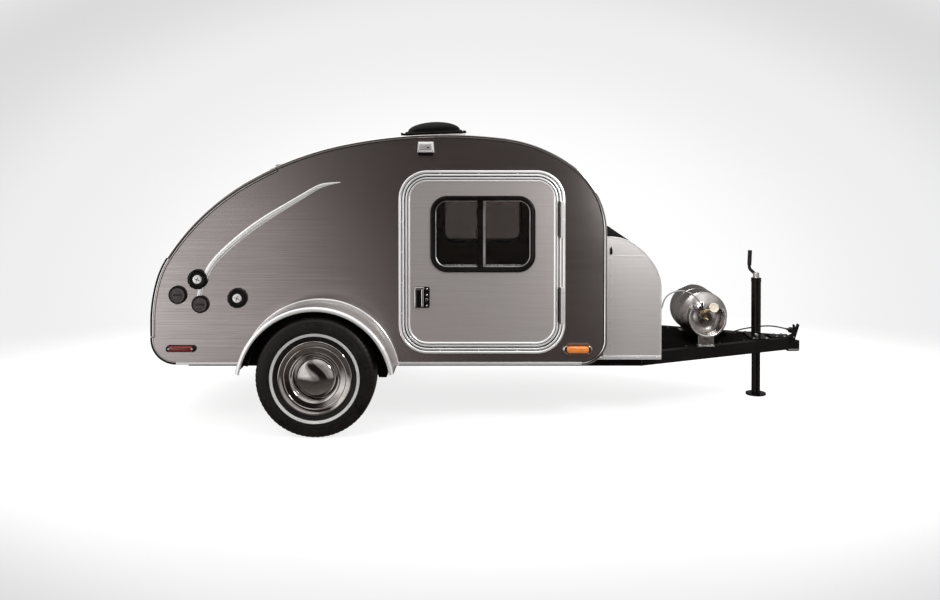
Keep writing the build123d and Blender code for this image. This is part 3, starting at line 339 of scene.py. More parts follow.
# nose box lid: black skin over the curved top, light metal cheeks
k = Mat("nose_lid_skin")
grain = k.noise((2.0, 2.0, 90.0), 1.0, 6.0)
k.l(k.ramp(grain, [(0.34, (0.74, 0.72, 0.71)), (0.64, (0.92, 0.90, 0.885))]), k.b.inputs["Base Color"])
k.l(k.span(grain, 0.34, 0.64, 0.50, 0.40), k.b.inputs["Roughness"])
k.set(Metallic=0.93, Anisotropic=0.3)
k.bump(grain, 0.08, 0.0005)
blk = k.n("BsdfPrincipled")
bn = k.noise((1, 1, 1), 70.0, 5.0)
k.l(k.ramp(bn, [(0.35, (0.0035, 0.0031, 0.003)), (0.65, (0.006, 0.0053, 0.005))]), blk.inputs["Base Color"])
blk.inputs["Specular IOR Level"].default_value = 0.004
k.l(k.span(bn, 0.35, 0.65, 0.30, 0.46), blk.inputs["Roughness"])
k.bump(bn, 0.03, 0.0004, blk)
fac = k.math("LESS_THAN", k.math("ABSOLUTE", k.xyz()[1]), 0.6085)
mx = k.n("MixShader")
k.l(fac, mx.inputs[0])
k.l(k.b.outputs[0], mx.inputs[1])
k.l(blk.outputs[0], mx.inputs[2])
k.l(mx.outputs[0], k.out.inputs["Surface"])
M["lid"] = k.m

NODE_MAT = {
    "main_frame": "black", "tongue_rails": "black", "tongue_deck": "deck", "coupler": "black", "coupler_latch": "black",
    "jack_tube": "blackgloss", "jack_crank": "black", "jack_leg": "blackgloss", "axle_beam": "black",
    "leaf_springs": "spring", "floor": "floor_ply", "side_wall_right": "body", "side_wall_left": "body",
    "roof_shell": "roof", "galley_bulkhead": "ply_z", "galley_cabinet": "ply", "door_frame_right": "satin",
    "door_frame_left": "satin", "fender_right": "fender", "fender_left": "fender", "nose_box": "box",
    "nose_box_lid": "lid", "lp_tank": "tank", "tank_valve": "brass", "lp_hose": "hose", "power_cable": "cable",
    "cable_plug": "plastic", "vent_base": "pale", "vent_lid": "dome", "side_ports": "plastic",
    "amber_markers": "amber_foot", "red_lamps": "red", "tyre_right": "tyre", "tyre_left": "tyre", "rim_right": "rim",
    "rim_left": "rim", "hubcap_right": "chrome", "hubcap_left": "chrome", "door_panel_right": "door",
    "door_panel_left": "door", "window_frame_right": "blackgloss", "window_frame_left": "blackgloss",
    "door_glass_right": "glass", "door_glass_left": "glass", "galley_hatch": "hatch",
}
for name, ob in nodes.items():
    ob.data.materials.clear()
    ob.data.materials.append(M[NODE_MAT[name]])


# ---------------------------------------------------------------- cords
def cord_curve(name, pts, dia, mat):
    cu = bpy.data.curves.new(name, "CURVE")
    cu.dimensions = "3D"
    sp = cu.splines.new("NURBS")
    sp.points.add(len(pts) - 1)
    for p, q in zip(sp.points, pts):
        p.co = (*q, 1.0)
    sp.order_u = 3
    sp.use_endpoint_u = True
    sp.resolution_u = 10
    cu.bevel_depth = dia / 2
    cu.bevel_resolution = 5
    cu.use_fill_caps = True
    ob = bpy.data.objects.new(name, cu)
    scene.collection.objects.link(ob)
    cu.materials.append(M[mat])
    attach(ob, "trailer")
    return ob


HOSE = [(1.003, -0.305, 0.606), (1.034, -0.305, 0.606), (1.064, -0.306, 0.628), (1.072, -0.308, 0.672),
        (1.100, -0.310, 0.716), (1.150, -0.312, 0.738), (1.206, -0.313, 0.741), (1.258, -0.313, 0.718),
        (1.298, -0.308, 0.680), (1.322, -0.296, 0.636), (1.322, -0.296, 0.598)]
hose = cord_curve("gas_hose", HOSE, 0.009, "hose")
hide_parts("lp_hose")

CABLE = [(1.558, 0.044, 0.401), (1.590, 0.044, 0.401), (1.634, 0.045, 0.418), (1.690, 0.046, 0.431),
         (1.752, 0.047, 0.439), (1.812, 0.047, 0.447), (1.864, 0.046, 0.448), (1.912, 0.045, 0.441),
         (1.953, 0.044, 0.432), (1.984, 0.043, 0.424)]
cable = cord_curve("light_cable", CABLE, 0.009, "cable")
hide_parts("power_cable")


# ---------------------------------------------------------------- mesh helpers
def finish_mesh(name, verts, faces, mat, body, angle=35.0, mats=None, index=None):
    me = bpy.data.meshes.new(name)
    me.from_pydata([tuple(v) for v in verts], [], faces)
    me.materials.append(M[mat])
    for extra in mats or ():
        me.materials.append(M[extra])
    if index is not None:
        me.polygons.foreach_set("material_index", index)
    bm = bmesh.new()
    bm.from_mesh(me)
    bmesh.ops.remove_doubles(bm, verts=bm.verts, dist=1e-6)
    bmesh.ops.recalc_face_normals(bm, faces=bm.faces)
    bm.to_mesh(me)
    bm.free()
    me.shade_smooth()
    me.set_sharp_from_angle(angle=math.radians(angle))
    ob = bpy.data.objects.new(name, me)
    scene.collection.objects.link(ob)
    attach(ob, body)
    return ob


def ring_faces(rings, m, closed, cap=True):
    """Quads between rings of m points each; closed joins last to first."""
    faces = []
    n = len(rings)
    for i in range(n if closed else n - 1):
        a, b = i * m, ((i + 1) % n) * m
        for j in range(m):
            jj = (j + 1) % m
            faces.append((a + j, a + jj, b + jj, b + j))
    if not closed and cap:
        faces.append(tuple(range(m)))
        faces.append(tuple((n - 1) * m + j for j in reversed(range(m))))
    return faces


def sweep_xz(name, path, prof, sg, mat, body, closed=False, y=HALF_W, angle=35.0, taper=None):
    """Sweeps prof, points (u, v) with u to the left of the path and v outward from y, along path in X-Z."""
    n = len(path)
    verts = []
    for i, (x, z) in enumerate(path):
        a = path[(i - 1) % n] if closed or i > 0 else path[0]
        b = path[(i + 1) % n] if closed or i < n - 1 else path[-1]
        tx, tz = b[0] - a[0], b[1] - a[1]
        ln = math.hypot(tx, tz) or 1.0
        nx, nz = -tz / ln, tx / ln
        k = taper(i / (n - 1)) if taper else 1.0
        for u, v in prof:
            verts.append((x + nx * u * k, sg * (y + v * (k if taper else 1.0)), z + nz * u * k))
    return finish_mesh(name, verts, ring_faces(path, len(prof), closed), mat, body, angle)


def rr_path(x0, x1, z0, z1, r, n=14):
    """Rounded rectangle, walked so that outward is on the left."""
    out = []
    for cx, cz, a0 in ((x0 + r, z1 - r, 180), (x1 - r, z1 - r, 90), (x1 - r, z0 + r, 0), (x0 + r, z0 + r, -90)):
        for i in range(n + 1):
            a = math.radians(a0 - 90 * i / n)
            out.append((cx + r * math.cos(a), cz + r * math.sin(a)))
    return out


def arc(cx, cy, r, a0, a1, n):
    return [(cx + r * math.cos(math.radians(a0 + (a1 - a0) * i / n)),
             cy + r * math.sin(math.radians(a0 + (a1 - a0) * i / n))) for i in range(n + 1)]


def revolve(name, prof, origin, axis, mat, body, seg=96, angle=30.0, closed=True, mats=None, pick=None, rad=None):
    """Turns prof, points (r, t) with t along axis from origin, into a surface of revolution."""
    ax = Vector(axis).normalized()
    ref = Vector((0, 0, 1)) if abs(ax.z) < 0.9 else Vector((1, 0, 0))
    e1 = ax.cross(ref).normalized()
    e2 = ax.cross(e1).normalized()
    o = Vector(origin)
    m = len(prof)
    verts, faces, index = [], [], []
    for s in range(seg):
        w = 2 * math.pi * s / seg
        d = e1 * math.cos(w) + e2 * math.sin(w)
        for j, (r, t) in enumerate(prof):
            rr = rad(s, j, r) if rad else r
            verts.append(o + d * rr + ax * t)
    for s in range(seg):
        a, b = s * m, ((s + 1) % seg) * m
        for j in range(m if closed else m - 1):
            jj = (j + 1) % m
            if prof[j][0] < 1e-9 and prof[jj][0] < 1e-9:
                continue
            f = (a + j, a + jj, b + jj, b + j)
            if prof[j][0] < 1e-9:
                f = (a + j, a + jj, b + jj)
            elif prof[jj][0] < 1e-9:
                f = (a + j, a + jj, b + j)
            faces.append(f)
            index.append(pick(j) if pick else 0)
    return finish_mesh(name, verts, faces, mat, body, angle, mats, index)


def prism(name, outline, sg, y0, y1, mat, body, bevel=0.0, segs=2, angle=35.0):
    """Plate with an X-Z outline between |y| = y0 and y1, with rounded edges on the outer face."""
    bm = bmesh.new()
    lo = [bm.verts.new((x, sg * y0, z)) for x, z in outline]
    hi = [bm.verts.new((x, sg * y1, z)) for x, z in outline]
    bm.faces.new(lo)
    top = bm.faces.new(list(reversed(hi)))
    n = len(outline)
    for i in range(n):
        bm.faces.new((lo[(i + 1) % n], lo[i], hi[i], hi[(i + 1) % n]))
    bmesh.ops.recalc_face_normals(bm, faces=bm.faces)
    if bevel:
        bmesh.ops.bevel(bm, geom=list(top.edges), offset=bevel, segments=segs, affect="EDGES", profile=0.5)
    return bm_object(name, bm, mat, body, angle)


def bm_object(name, bm, mat, body, angle=35.0):
    bmesh.ops.recalc_face_normals(bm, faces=bm.faces)
    me = bpy.data.meshes.new(name)
    bm.to_mesh(me)
    bm.free()
    me.materials.append(M[mat])
    me.shade_smooth()
    me.set_sharp_from_angle(angle=math.radians(angle))
    ob = bpy.data.objects.new(name, me)
    scene.collection.objects.link(ob)
    wn_mod = ob.modifiers.new("face_weight", "WEIGHTED_NORMAL")
    wn_mod.keep_sharp = True
    wn_mod.weight = 80
    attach(ob, body)
    return ob


def add_box(bm, c, s, rot=None, bevel=0.0, segs=2):
    """Adds a box with rounded edges to bm."""
    t = bmesh.new()
    bmesh.ops.create_cube(t, size=1.0)
    bmesh.ops.scale(t, vec=Vector(s), verts=t.verts)
    if bevel:
        bmesh.ops.bevel(t, geom=list(t.edges), offset=min(bevel, min(s) * 0.49), segments=segs, affect="EDGES",
                        profile=0.5)
    if rot is not None:
        bmesh.ops.rotate(t, cent=(0, 0, 0), matrix=rot, verts=t.verts)
    bmesh.ops.translate(t, vec=Vector(c), verts=t.verts)
    merge(bm, t)


def merge(bm, t):
    me = bpy.data.meshes.new("tmp")
    t.to_mesh(me)
    t.free()
    bm.from_mesh(me)
    bpy.data.meshes.remove(me)


def add_turned(bm, prof, origin, axis, seg=32):
    """Adds a solid of revolution, profile (r, t), to bm."""
    ax = Vector(axis).normalized()
    ref = Vector((0, 0, 1)) if abs(ax.z) < 0.9 else Vector((1, 0, 0))
    e1 = ax.cross(ref).normalized()
    e2 = ax.cross(e1).normalized()
    o = Vector(origin)
    rows = []
    for r, t in prof:
        if r < 1e-9:
            rows.append([bm.verts.new(o + ax * t)])
        else:
            rows.append([bm.verts.new(o + ax * t + (e1 * math.cos(2 * math.pi * s / seg)
                                                    + e2 * math.sin(2 * math.pi * s / seg)) * r) for s in range(seg)])
    for a, b in zip(rows, rows[1:]):
        for s in range(seg):
            s2 = (s + 1) % seg
            if len(a) == 1 and len(b) == 1:
                continue
            if len(a) == 1:
                bm.faces.new((a[0], b[s], b[s2]))
            elif len(b) == 1:
                bm.faces.new((a[s], b[0], a[s2]))
            else:
                bm.faces.new((a[s], b[s], b[s2], a[s2]))


def add_tube(bm, pts, r, seg=12, cap=True, radii=None):
    """Adds a round bar along pts, with a turning frame and flat ends."""
    pts = [Vector(p) for p in pts]
    ref = Vector((0, 0, 1))
    rows = []
    prev = None
    for i, p in enumerate(pts):
        a, b = pts[max(i - 1, 0)], pts[min(i + 1, len(pts) - 1)]
        t = (b - a).normalized()
        if prev is None:
            e1 = t.cross(ref if abs(t.z) < 0.9 else Vector((1, 0, 0))).normalized()
        else:
            e1 = (prev - t * prev.dot(t)).normalized()
        prev = e1
        e2 = t.cross(e1)
        rr = radii[i] if radii else r
        rows.append([bm.verts.new(p + (e1 * math.cos(2 * math.pi * s / seg) + e2 * math.sin(2 * math.pi * s / seg)) * rr)
                     for s in range(seg)])
    for a, b in zip(rows, rows[1:]):
        for s in range(seg):
            bm.faces.new((a[s], a[(s + 1) % seg], b[(s + 1) % seg], b[s]))
    if cap:
        bm.faces.new(list(reversed(rows[0])))
        bm.faces.new(rows[-1])


def smooth_pts(ctrl, n=8):
    """Points on a Catmull-Rom line through ctrl."""
    c = [Vector(p) for p in ctrl]
    c = [c[0] * 2 - c[1]] + c + [c[-1] * 2 - c[-2]]
    out = []
    for i in range(1, len(c) - 2):
        for s in range(n):
            t = s / n
            a, b, d, e = c[i - 1], c[i], c[i + 1], c[i + 2]
            out.append(0.5 * ((2 * b) + (d - a) * t + (2 * a - 5 * b + 4 * d - e) * t * t
                              + (3 * b - a - 3 * d + e) * t ** 3))
    out.append(c[-2])
    return out


def add_screw(bm, p, axis, r=0.0045, h=0.002):
    """Domed screw or rivet head."""
    add_turned(bm, [(r, 0.0), (r * 0.96, h * 0.45), (r * 0.7, h * 0.85), (r * 0.3, h), (0.0, h)], p, axis, 12)


# ---------------------------------------------------------------- body outline
OUTLINE = [(0.9027, 16.49), (0.5024, 16.60), (1.3728, 26.49), (1.9428, 6.42), (1.9428, 12.59), (2.9335, 18.29),
           (0.8647, 28.63), (0.4979, 54.49)]
REAR_X, FRONT_X, BOTTOM_Z, TAIL_Z, CORNER = -2.0395, 0.65197, 0.374, 0.620, 0.150
FRONT_TOP = 1.1483


def outline(rows, inset=0.0, step=1.0, start=0):
    """Points of the outline over the arcs in rows, set in by inset."""
    x, z, h = REAR_X, TAIL_Z, math.pi / 2
    out = []
    for i, (r, turn) in enumerate(OUTLINE):
        t = math.radians(turn)
        cx, cz = x + r * math.cos(h - math.pi / 2), z + r * math.sin(h - math.pi / 2)
        if i in rows:
            n = max(2, int(turn / step))
            for s in range(n + 1):
                a = h - t * s / n + math.pi / 2
                p = (cx + (r - inset) * math.cos(a), cz + (r - inset) * math.sin(a))
                if not out or math.hypot(p[0] - out[-1][0], p[1] - out[-1][1]) > 1e-5:
                    out.append(p)
        x, z = cx + r * math.cos(h - t + math.pi / 2), cz + r * math.sin(h - t + math.pi / 2)
        h -= t
    return out


def lower_front(inset=0.0, n=14):
    """Front edge down to the corner and along it to the bottom."""
    c = (FRONT_X - CORNER, BOTTOM_Z + CORNER)
    return [(FRONT_X - inset, c[1])] + arc(c[0], c[1], CORNER - inset, 0, -90, n)[1:]


def bottom_run(inset=0.0, n=14, z_end=0.535):
    """Bottom edge to the rear corner and up to the foot of the hatch."""
    c = (REAR_X + CORNER, BOTTOM_Z + CORNER)
    return [(c[0], BOTTOM_Z + inset)] + arc(c[0], c[1], CORNER - inset, -90, -180, n)[1:] + [(REAR_X + inset, z_end)]


HATCH_ROWS, ROOF_ROWS = (0, 1, 2, 3), (4, 5, 6, 7)
HINGE = Vector((-1.2930, 0.0, 1.54173))
HN = Vector((-0.40673664, 0.0, 0.91354546))
HT = Vector((0.91354546, 0.0, 0.40673664))


# ---------------------------------------------------------------- wheels
AX_X, AX_Z, WHEEL_Y = -1.035, 0.344, 0.8775


def crown(t):
    return 0.3439 - 0.0022 * (t / 0.075) ** 2


tread = [(crown(0.074), -0.074)]
for gx in (-0.050, -0.0185, 0.0185, 0.050):
    tread += [(crown(gx), gx - 0.0036), (crown(gx) - 0.0075, gx - 0.0026), (crown(gx) - 0.0075, gx + 0.0026),
              (crown(gx), gx + 0.0036)]
tread.append((crown(0.074), 0.074))
TYRE_IN = [(0.1905, -0.0800), (0.2060, -0.0870), (0.2150, -0.0895), (0.2300, -0.0950), (0.2500, -0.1005),
           (0.2680, -0.1020), (0.2900, -0.1012), (0.3080, -0.0990), (0.3200, -0.0965), (0.3310, -0.0922),
           (0.3385, -0.0845)]
TYRE_OUT = [(0.3385, 0.0845), (0.3310, 0.0922), (0.3220, 0.0958), (0.3210, 0.0948), (0.3195, 0.0962), (0.3090, 0.0988),
            (0.2990, 0.1003), (0.2982, 0.0995), (0.2965, 0.1005), (0.2860, 0.1016), (0.2772, 0.1022), (0.2764, 0.1013),
            (0.2750, 0.1013), (0.2742, 0.1023), (0.2600, 0.1022), (0.2592, 0.1011), (0.2578, 0.1010), (0.2570, 0.1023),
            (0.2490, 0.1014), (0.2404, 0.0990), (0.2398, 0.0968), (0.2380, 0.0966), (0.2330, 0.0950), (0.2322, 0.0940),
            (0.2300, 0.0938), (0.2240, 0.0918), (0.2150, 0.0893), (0.2060, 0.0870), (0.1905, 0.0800)]
TYRE = TYRE_IN + tread + TYRE_OUT
LUG = {j for j, (r, t) in enumerate(TYRE) if r > 0.3255 and abs(t) > 0.058}
WHITE = {len(TYRE_IN) + len(tread) + 17, len(TYRE_IN) + len(tread) + 18}

CAP = [(0.2112, 0.0915), (0.2122, 0.0932), (0.2118, 0.0955), (0.2098, 0.0974), (0.2066, 0.0984), (0.2034, 0.0981),
       (0.2004, 0.0966), (0.1975, 0.0942), (0.1900, 0.0912), (0.1830, 0.0892), (0.1800, 0.0890), (0.1786, 0.0900),
       (0.1770, 0.0905), (0.1754, 0.0896), (0.1740, 0.0882), (0.1640, 0.0868), (0.1540, 0.0858), (0.1470, 0.0846),
       (0.1450, 0.0854), (0.1434, 0.0858), (0.1418, 0.0846), (0.1404, 0.0828), (0.1368, 0.0806), (0.1324, 0.0776),
       (0.1308, 0.0782), (0.1292, 0.0784), (0.1276, 0.0768), (0.1258, 0.0744), (0.1216, 0.0700), (0.1172, 0.0652),
       (0.1150, 0.0636), (0.1128, 0.0632)]
for q in range(0, 23):
    rr = 0.1112 * math.cos(math.radians(90.0 * q / 22)) ** 0.8
    CAP.append((0.0 if q == 22 else rr, 0.0640 + 0.0345 * (1.0 - (rr / 0.1112) ** 2.5) ** 0.62 if q < 22 else 0.0985))
CAP = CAP + [(r, t - 0.003) for r, t in reversed(CAP)]

for side, sg in SIDES:
    body = "wheel_" + side
    c = (AX_X, sg * WHEEL_Y, AX_Z)
    t_ob = revolve("tyre_tread_" + side, TYRE, c, (0, sg, 0), "tyre", body, 288, 24.0, mats=["white"],
                   pick=lambda j: 1 if j in WHITE else 0, rad=lambda s, j, r: r - 0.0022 if j in LUG and s % 4 == 0 else r)
    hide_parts("tyre_" + side)
    c_ob = revolve("wheel_cap_" + side, CAP, c, (0, sg, 0), "cap", body, 144, 24.0)
    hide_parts("hubcap_" + side)
    bm = bmesh.new()
    add_turned(bm, [(0.0, 0.0), (0.0045, 0.0), (0.0045, 0.016), (0.0052, 0.017), (0.0052, 0.024), (0.003, 0.027),
                    (0.0, 0.027)], (AX_X - 0.112, sg * (WHEEL_Y + 0.070), AX_Z + 0.112), (0, sg, 0), 16)
    bm_object("valve_stem_" + side, bm, "rubber", body)
    bm = bmesh.new()
    for q in range(5):
        w = math.radians(90 + 72 * q)
        add_turned(bm, [(0.0, 0.0), (0.010, 0.0), (0.010, 0.010), (0.006, 0.012), (0.0, 0.012)],
                   (AX_X + 0.057 * math.cos(w), sg * (WHEEL_Y - 0.0625), AX_Z + 0.057 * math.sin(w)), (0, -sg, 0), 6)
    bm_object("wheel_nuts_" + side, bm, "steel", "wheel_" + side)

# ---------------------------------------------------------------- fenders
FX, FZ, FR = -1.038, 0.293, 0.458
F_END = math.degrees(math.asin(0.075 / FR))
F_PROF = [(0.0060, 0.0000), (0.0060, 0.0032), (0.0030, 0.0050), (0.0000, 0.0052), (0.0, 0.2020), (-0.0006, 0.2062),
          (-0.0024, 0.2100), (-0.0052, 0.2135), (-0.0092, 0.2162), (-0.0140, 0.2177), (-0.0190, 0.2179),
          (-0.0235, 0.2168), (-0.0258, 0.2145), (-0.0258, 0.2120), (-0.0240, 0.2105), (-0.0120, 0.2095),
          (-0.0060, 0.2070), (-0.0042, 0.2015), (-0.0042, 0.0046), (-0.0260, 0.0040), (-0.0260, 0.0)]
for side, sg in SIDES:
    path = arc(FX, FZ, FR, 180.0 - F_END, F_END, 120)
    verts, index = [], []
    m = len(F_PROF)
    for x, z in path:
        w = math.atan2(z - FZ, x - FX)
        verts += [(x + math.cos(w) * u, sg * (HALF_W + v), z + math.sin(w) * u) for u, v in F_PROF]
    faces = ring_faces(path, m, False)
    # the lip's outer curl takes the bright aluminium, a painted highlight along the lip; the lip's underside and the
    # fender's inner face take black paint, painted shade under the fender
    index = [(1 if 14 <= (q % m) <= 19 else 2 if 4 <= (q % m) <= 12 else 0) for q in range((len(path) - 1) * m)] + [0, 0]
    f_ob = finish_mesh("fender_skin_" + side, verts, faces, "fender", "trailer", 40.0, ["black", "bright"], index)
    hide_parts("fender_" + side)
    bead = arc(FX, FZ, FR + 0.0105, 180.0 - F_END, F_END, 120)
    sweep_xz("fender_bead_" + side, bead,
             [(0.0045 * math.cos(2 * math.pi * q / 10), 0.0035 + 0.0045 * math.sin(2 * math.pi * q / 10)) for q in range(10)],
             sg, "bright", "trailer")
    # black sheet on the side wall inside the wheel arch: painted shade of the wheel well
    arch_shade_line = arc(FX, FZ, FR - 0.0275, 8.0, 172.0, 60)
    prism("wheel_arch_painted_shade_" + side, [(p[0], max(p[1], 0.3745)) for p in arch_shade_line], sg, HALF_W - 0.001, HALF_W + 0.0018,
          "black", "trailer")

# ---------------------------------------------------------------- body edges
EDGE = [(-0.0125, 0.0), (-0.0125, 0.0022), (-0.0105, 0.0036), (-0.0060, 0.0042), (-0.0022, 0.0036), (-0.0004, 0.0020),
        (-0.0004, 0.0)]
EDGE_OUT = [(-0.0125, 0.0), (-0.0125, 0.0022), (-0.0105, 0.0036), (-0.0050, 0.0044), (0.0004, 0.0036),
            (0.0024, 0.0014), (0.0026, -0.0100), (0.0004, -0.0102), (0.0, 0.0)]
GROOVE = [(-0.0185, 0.0), (-0.0185, 0.0018), (-0.0128, 0.0018), (-0.0128, 0.0)]
SEAL = [(-0.0105, 0.0), (-0.0105, 0.0030), (-0.0090, 0.0050), (-0.0055, 0.0060), (-0.0022, 0.0050), (-0.0006, 0.0024),
        (-0.0006, 0.0)]


def accent_width(f):
    """Share of the accent moulding's full width along its length."""
    stops = [(0.0, 0.70), (0.15, 0.95), (0.50, 1.00), (0.80, 0.66), (0.90, 0.52), (1.0, 0.12)]
    for (fa, wa), (fb, wb) in zip(stops, stops[1:]):
        if f <= fb:
            return wa + (wb - wa) * (f - fa) / (fb - fa)
    return stops[-1][1]


LINE = [(-0.0180, 0.0), (-0.0180, 0.0014), (-0.0148, 0.0024), (-0.0116, 0.0014), (-0.0116, 0.0)]
for side, sg in SIDES:
    low = bottom_run(0.0, 14, 0.5345)
    sweep_xz("tail_corner_seal_" + side, low, SEAL, sg, "rubber", "trailer")
    sweep_xz("tail_corner_line_" + side, low, LINE, sg, "chrome", "trailer")
    tail = [(REAR_X, 0.5415)] + outline((0, 1), 0.0, 1.2)
    sweep_xz("hatch_seal_" + side, tail, SEAL, sg, "rubber", "hatch")
    sweep_xz("hatch_line_" + side, tail, LINE, sg, "chrome", "hatch")
    up = outline((2, 3), 0.0, 1.2)
    up[-1] = (up[-1][0] - HT.x * 0.008, up[-1][1] - HT.z * 0.008)
    sweep_xz("hatch_edge_" + side, up, EDGE, sg, "chrome", "hatch")
    sweep_xz("hatch_groove_" + side, up, GROOVE, sg, "rubber", "hatch")
    roof = outline(ROOF_ROWS, 0.0, 1.0)
    front = roof + lower_front()[1:] + [(-0.575, BOTTOM_Z)]
    sweep_xz("roof_edge_" + side, front, EDGE_OUT, sg, "chrome", "trailer")
    sweep_xz("roof_groove_" + side, front[:-1], GROOVE, sg, "rubber", "trailer")
    for tag, xa, xb in (("front", -0.578, 0.505), ("rear", -1.889, -1.4985)):
        prism("sill_moulding_" + tag + "_" + side, [(xa, 0.3748), (xb, 0.3748), (xb, 0.3900), (xa, 0.3900)], sg,
              HALF_W - 0.001, HALF_W + 0.0062, "bright", "trailer", 0.0025, 2)

    # curved accent moulding between the ports and the roof, in bright aluminium along a highlight line: a painted
    # highlight given the form of a moulding
    ctrl = [(197.2, 304.5), (201.1, 287.9), (207.5, 271.8), (215.0, 260.6), (225.0, 250.3), (238.0, 238.8), (252.3, 227.6),
            (268.4, 216.6), (286.0, 205.9), (303.6, 195.4), (317.6, 187.2), (326.5, 184.2), (340.5, 182.2)]
    pts = smooth_pts([((px - 480.0) * 0.0058945 - 0.0945, 0.0, 1.706 - (py - 139.0) * 0.0058945) for px, py in ctrl], 10)
    line = [(p.x, p.z) for p in pts]
    prof = [(-0.0235, 0.0), (-0.0230, 0.0024), (-0.0205, 0.0030), (-0.0180, 0.0036), (-0.0150, 0.0084), (-0.0095, 0.0122),
            (-0.0040, 0.0118), (-0.0010, 0.0082), (0.0012, 0.0080), (0.0040, 0.0112), (0.0092, 0.0112), (0.0140, 0.0078),
            (0.0170, 0.0034), (0.0182, 0.0)]
    sweep_xz("side_accent_" + side, line, prof, sg, "bright", "trailer", angle=45.0,
             taper=accent_width)

# ---------------------------------------------------------------- doors
DX0, DX1, DZ0, DZ1, DR = -0.534, 0.368, 0.481, 1.482, 0.130
WX0, WX1, WZ0, WZ1, WR = -0.387, 0.232, 0.922, 1.372, 0.100
FLANGE = [(0.0005, 0.0055), (0.0005, 0.0082), (0.0020, 0.0100), (0.0055, 0.0110), (0.0092, 0.0100), (0.0110, 0.0078),
          (0.0122, 0.0068), (0.0168, 0.0068), (0.0180, 0.0085), (0.0200, 0.0112), (0.0240, 0.0132), (0.0285, 0.0130),
          (0.0322, 0.0108), (0.0338, 0.0070), (0.0338, 0.0055)]
LEAF = [(-0.0006, -0.0005), (-0.0006, 0.0030), (-0.0022, 0.0050), (-0.0060, 0.0060), (-0.0096, 0.0050),
        (-0.0110, 0.0026), (-0.0122, 0.0016), (-0.0160, 0.0016), (-0.0172, 0.0030), (-0.0200, 0.0052),
        (-0.0232, 0.0048), (-0.0262, 0.0026), (-0.0280, 0.0004), (-0.0280, -0.0005)]
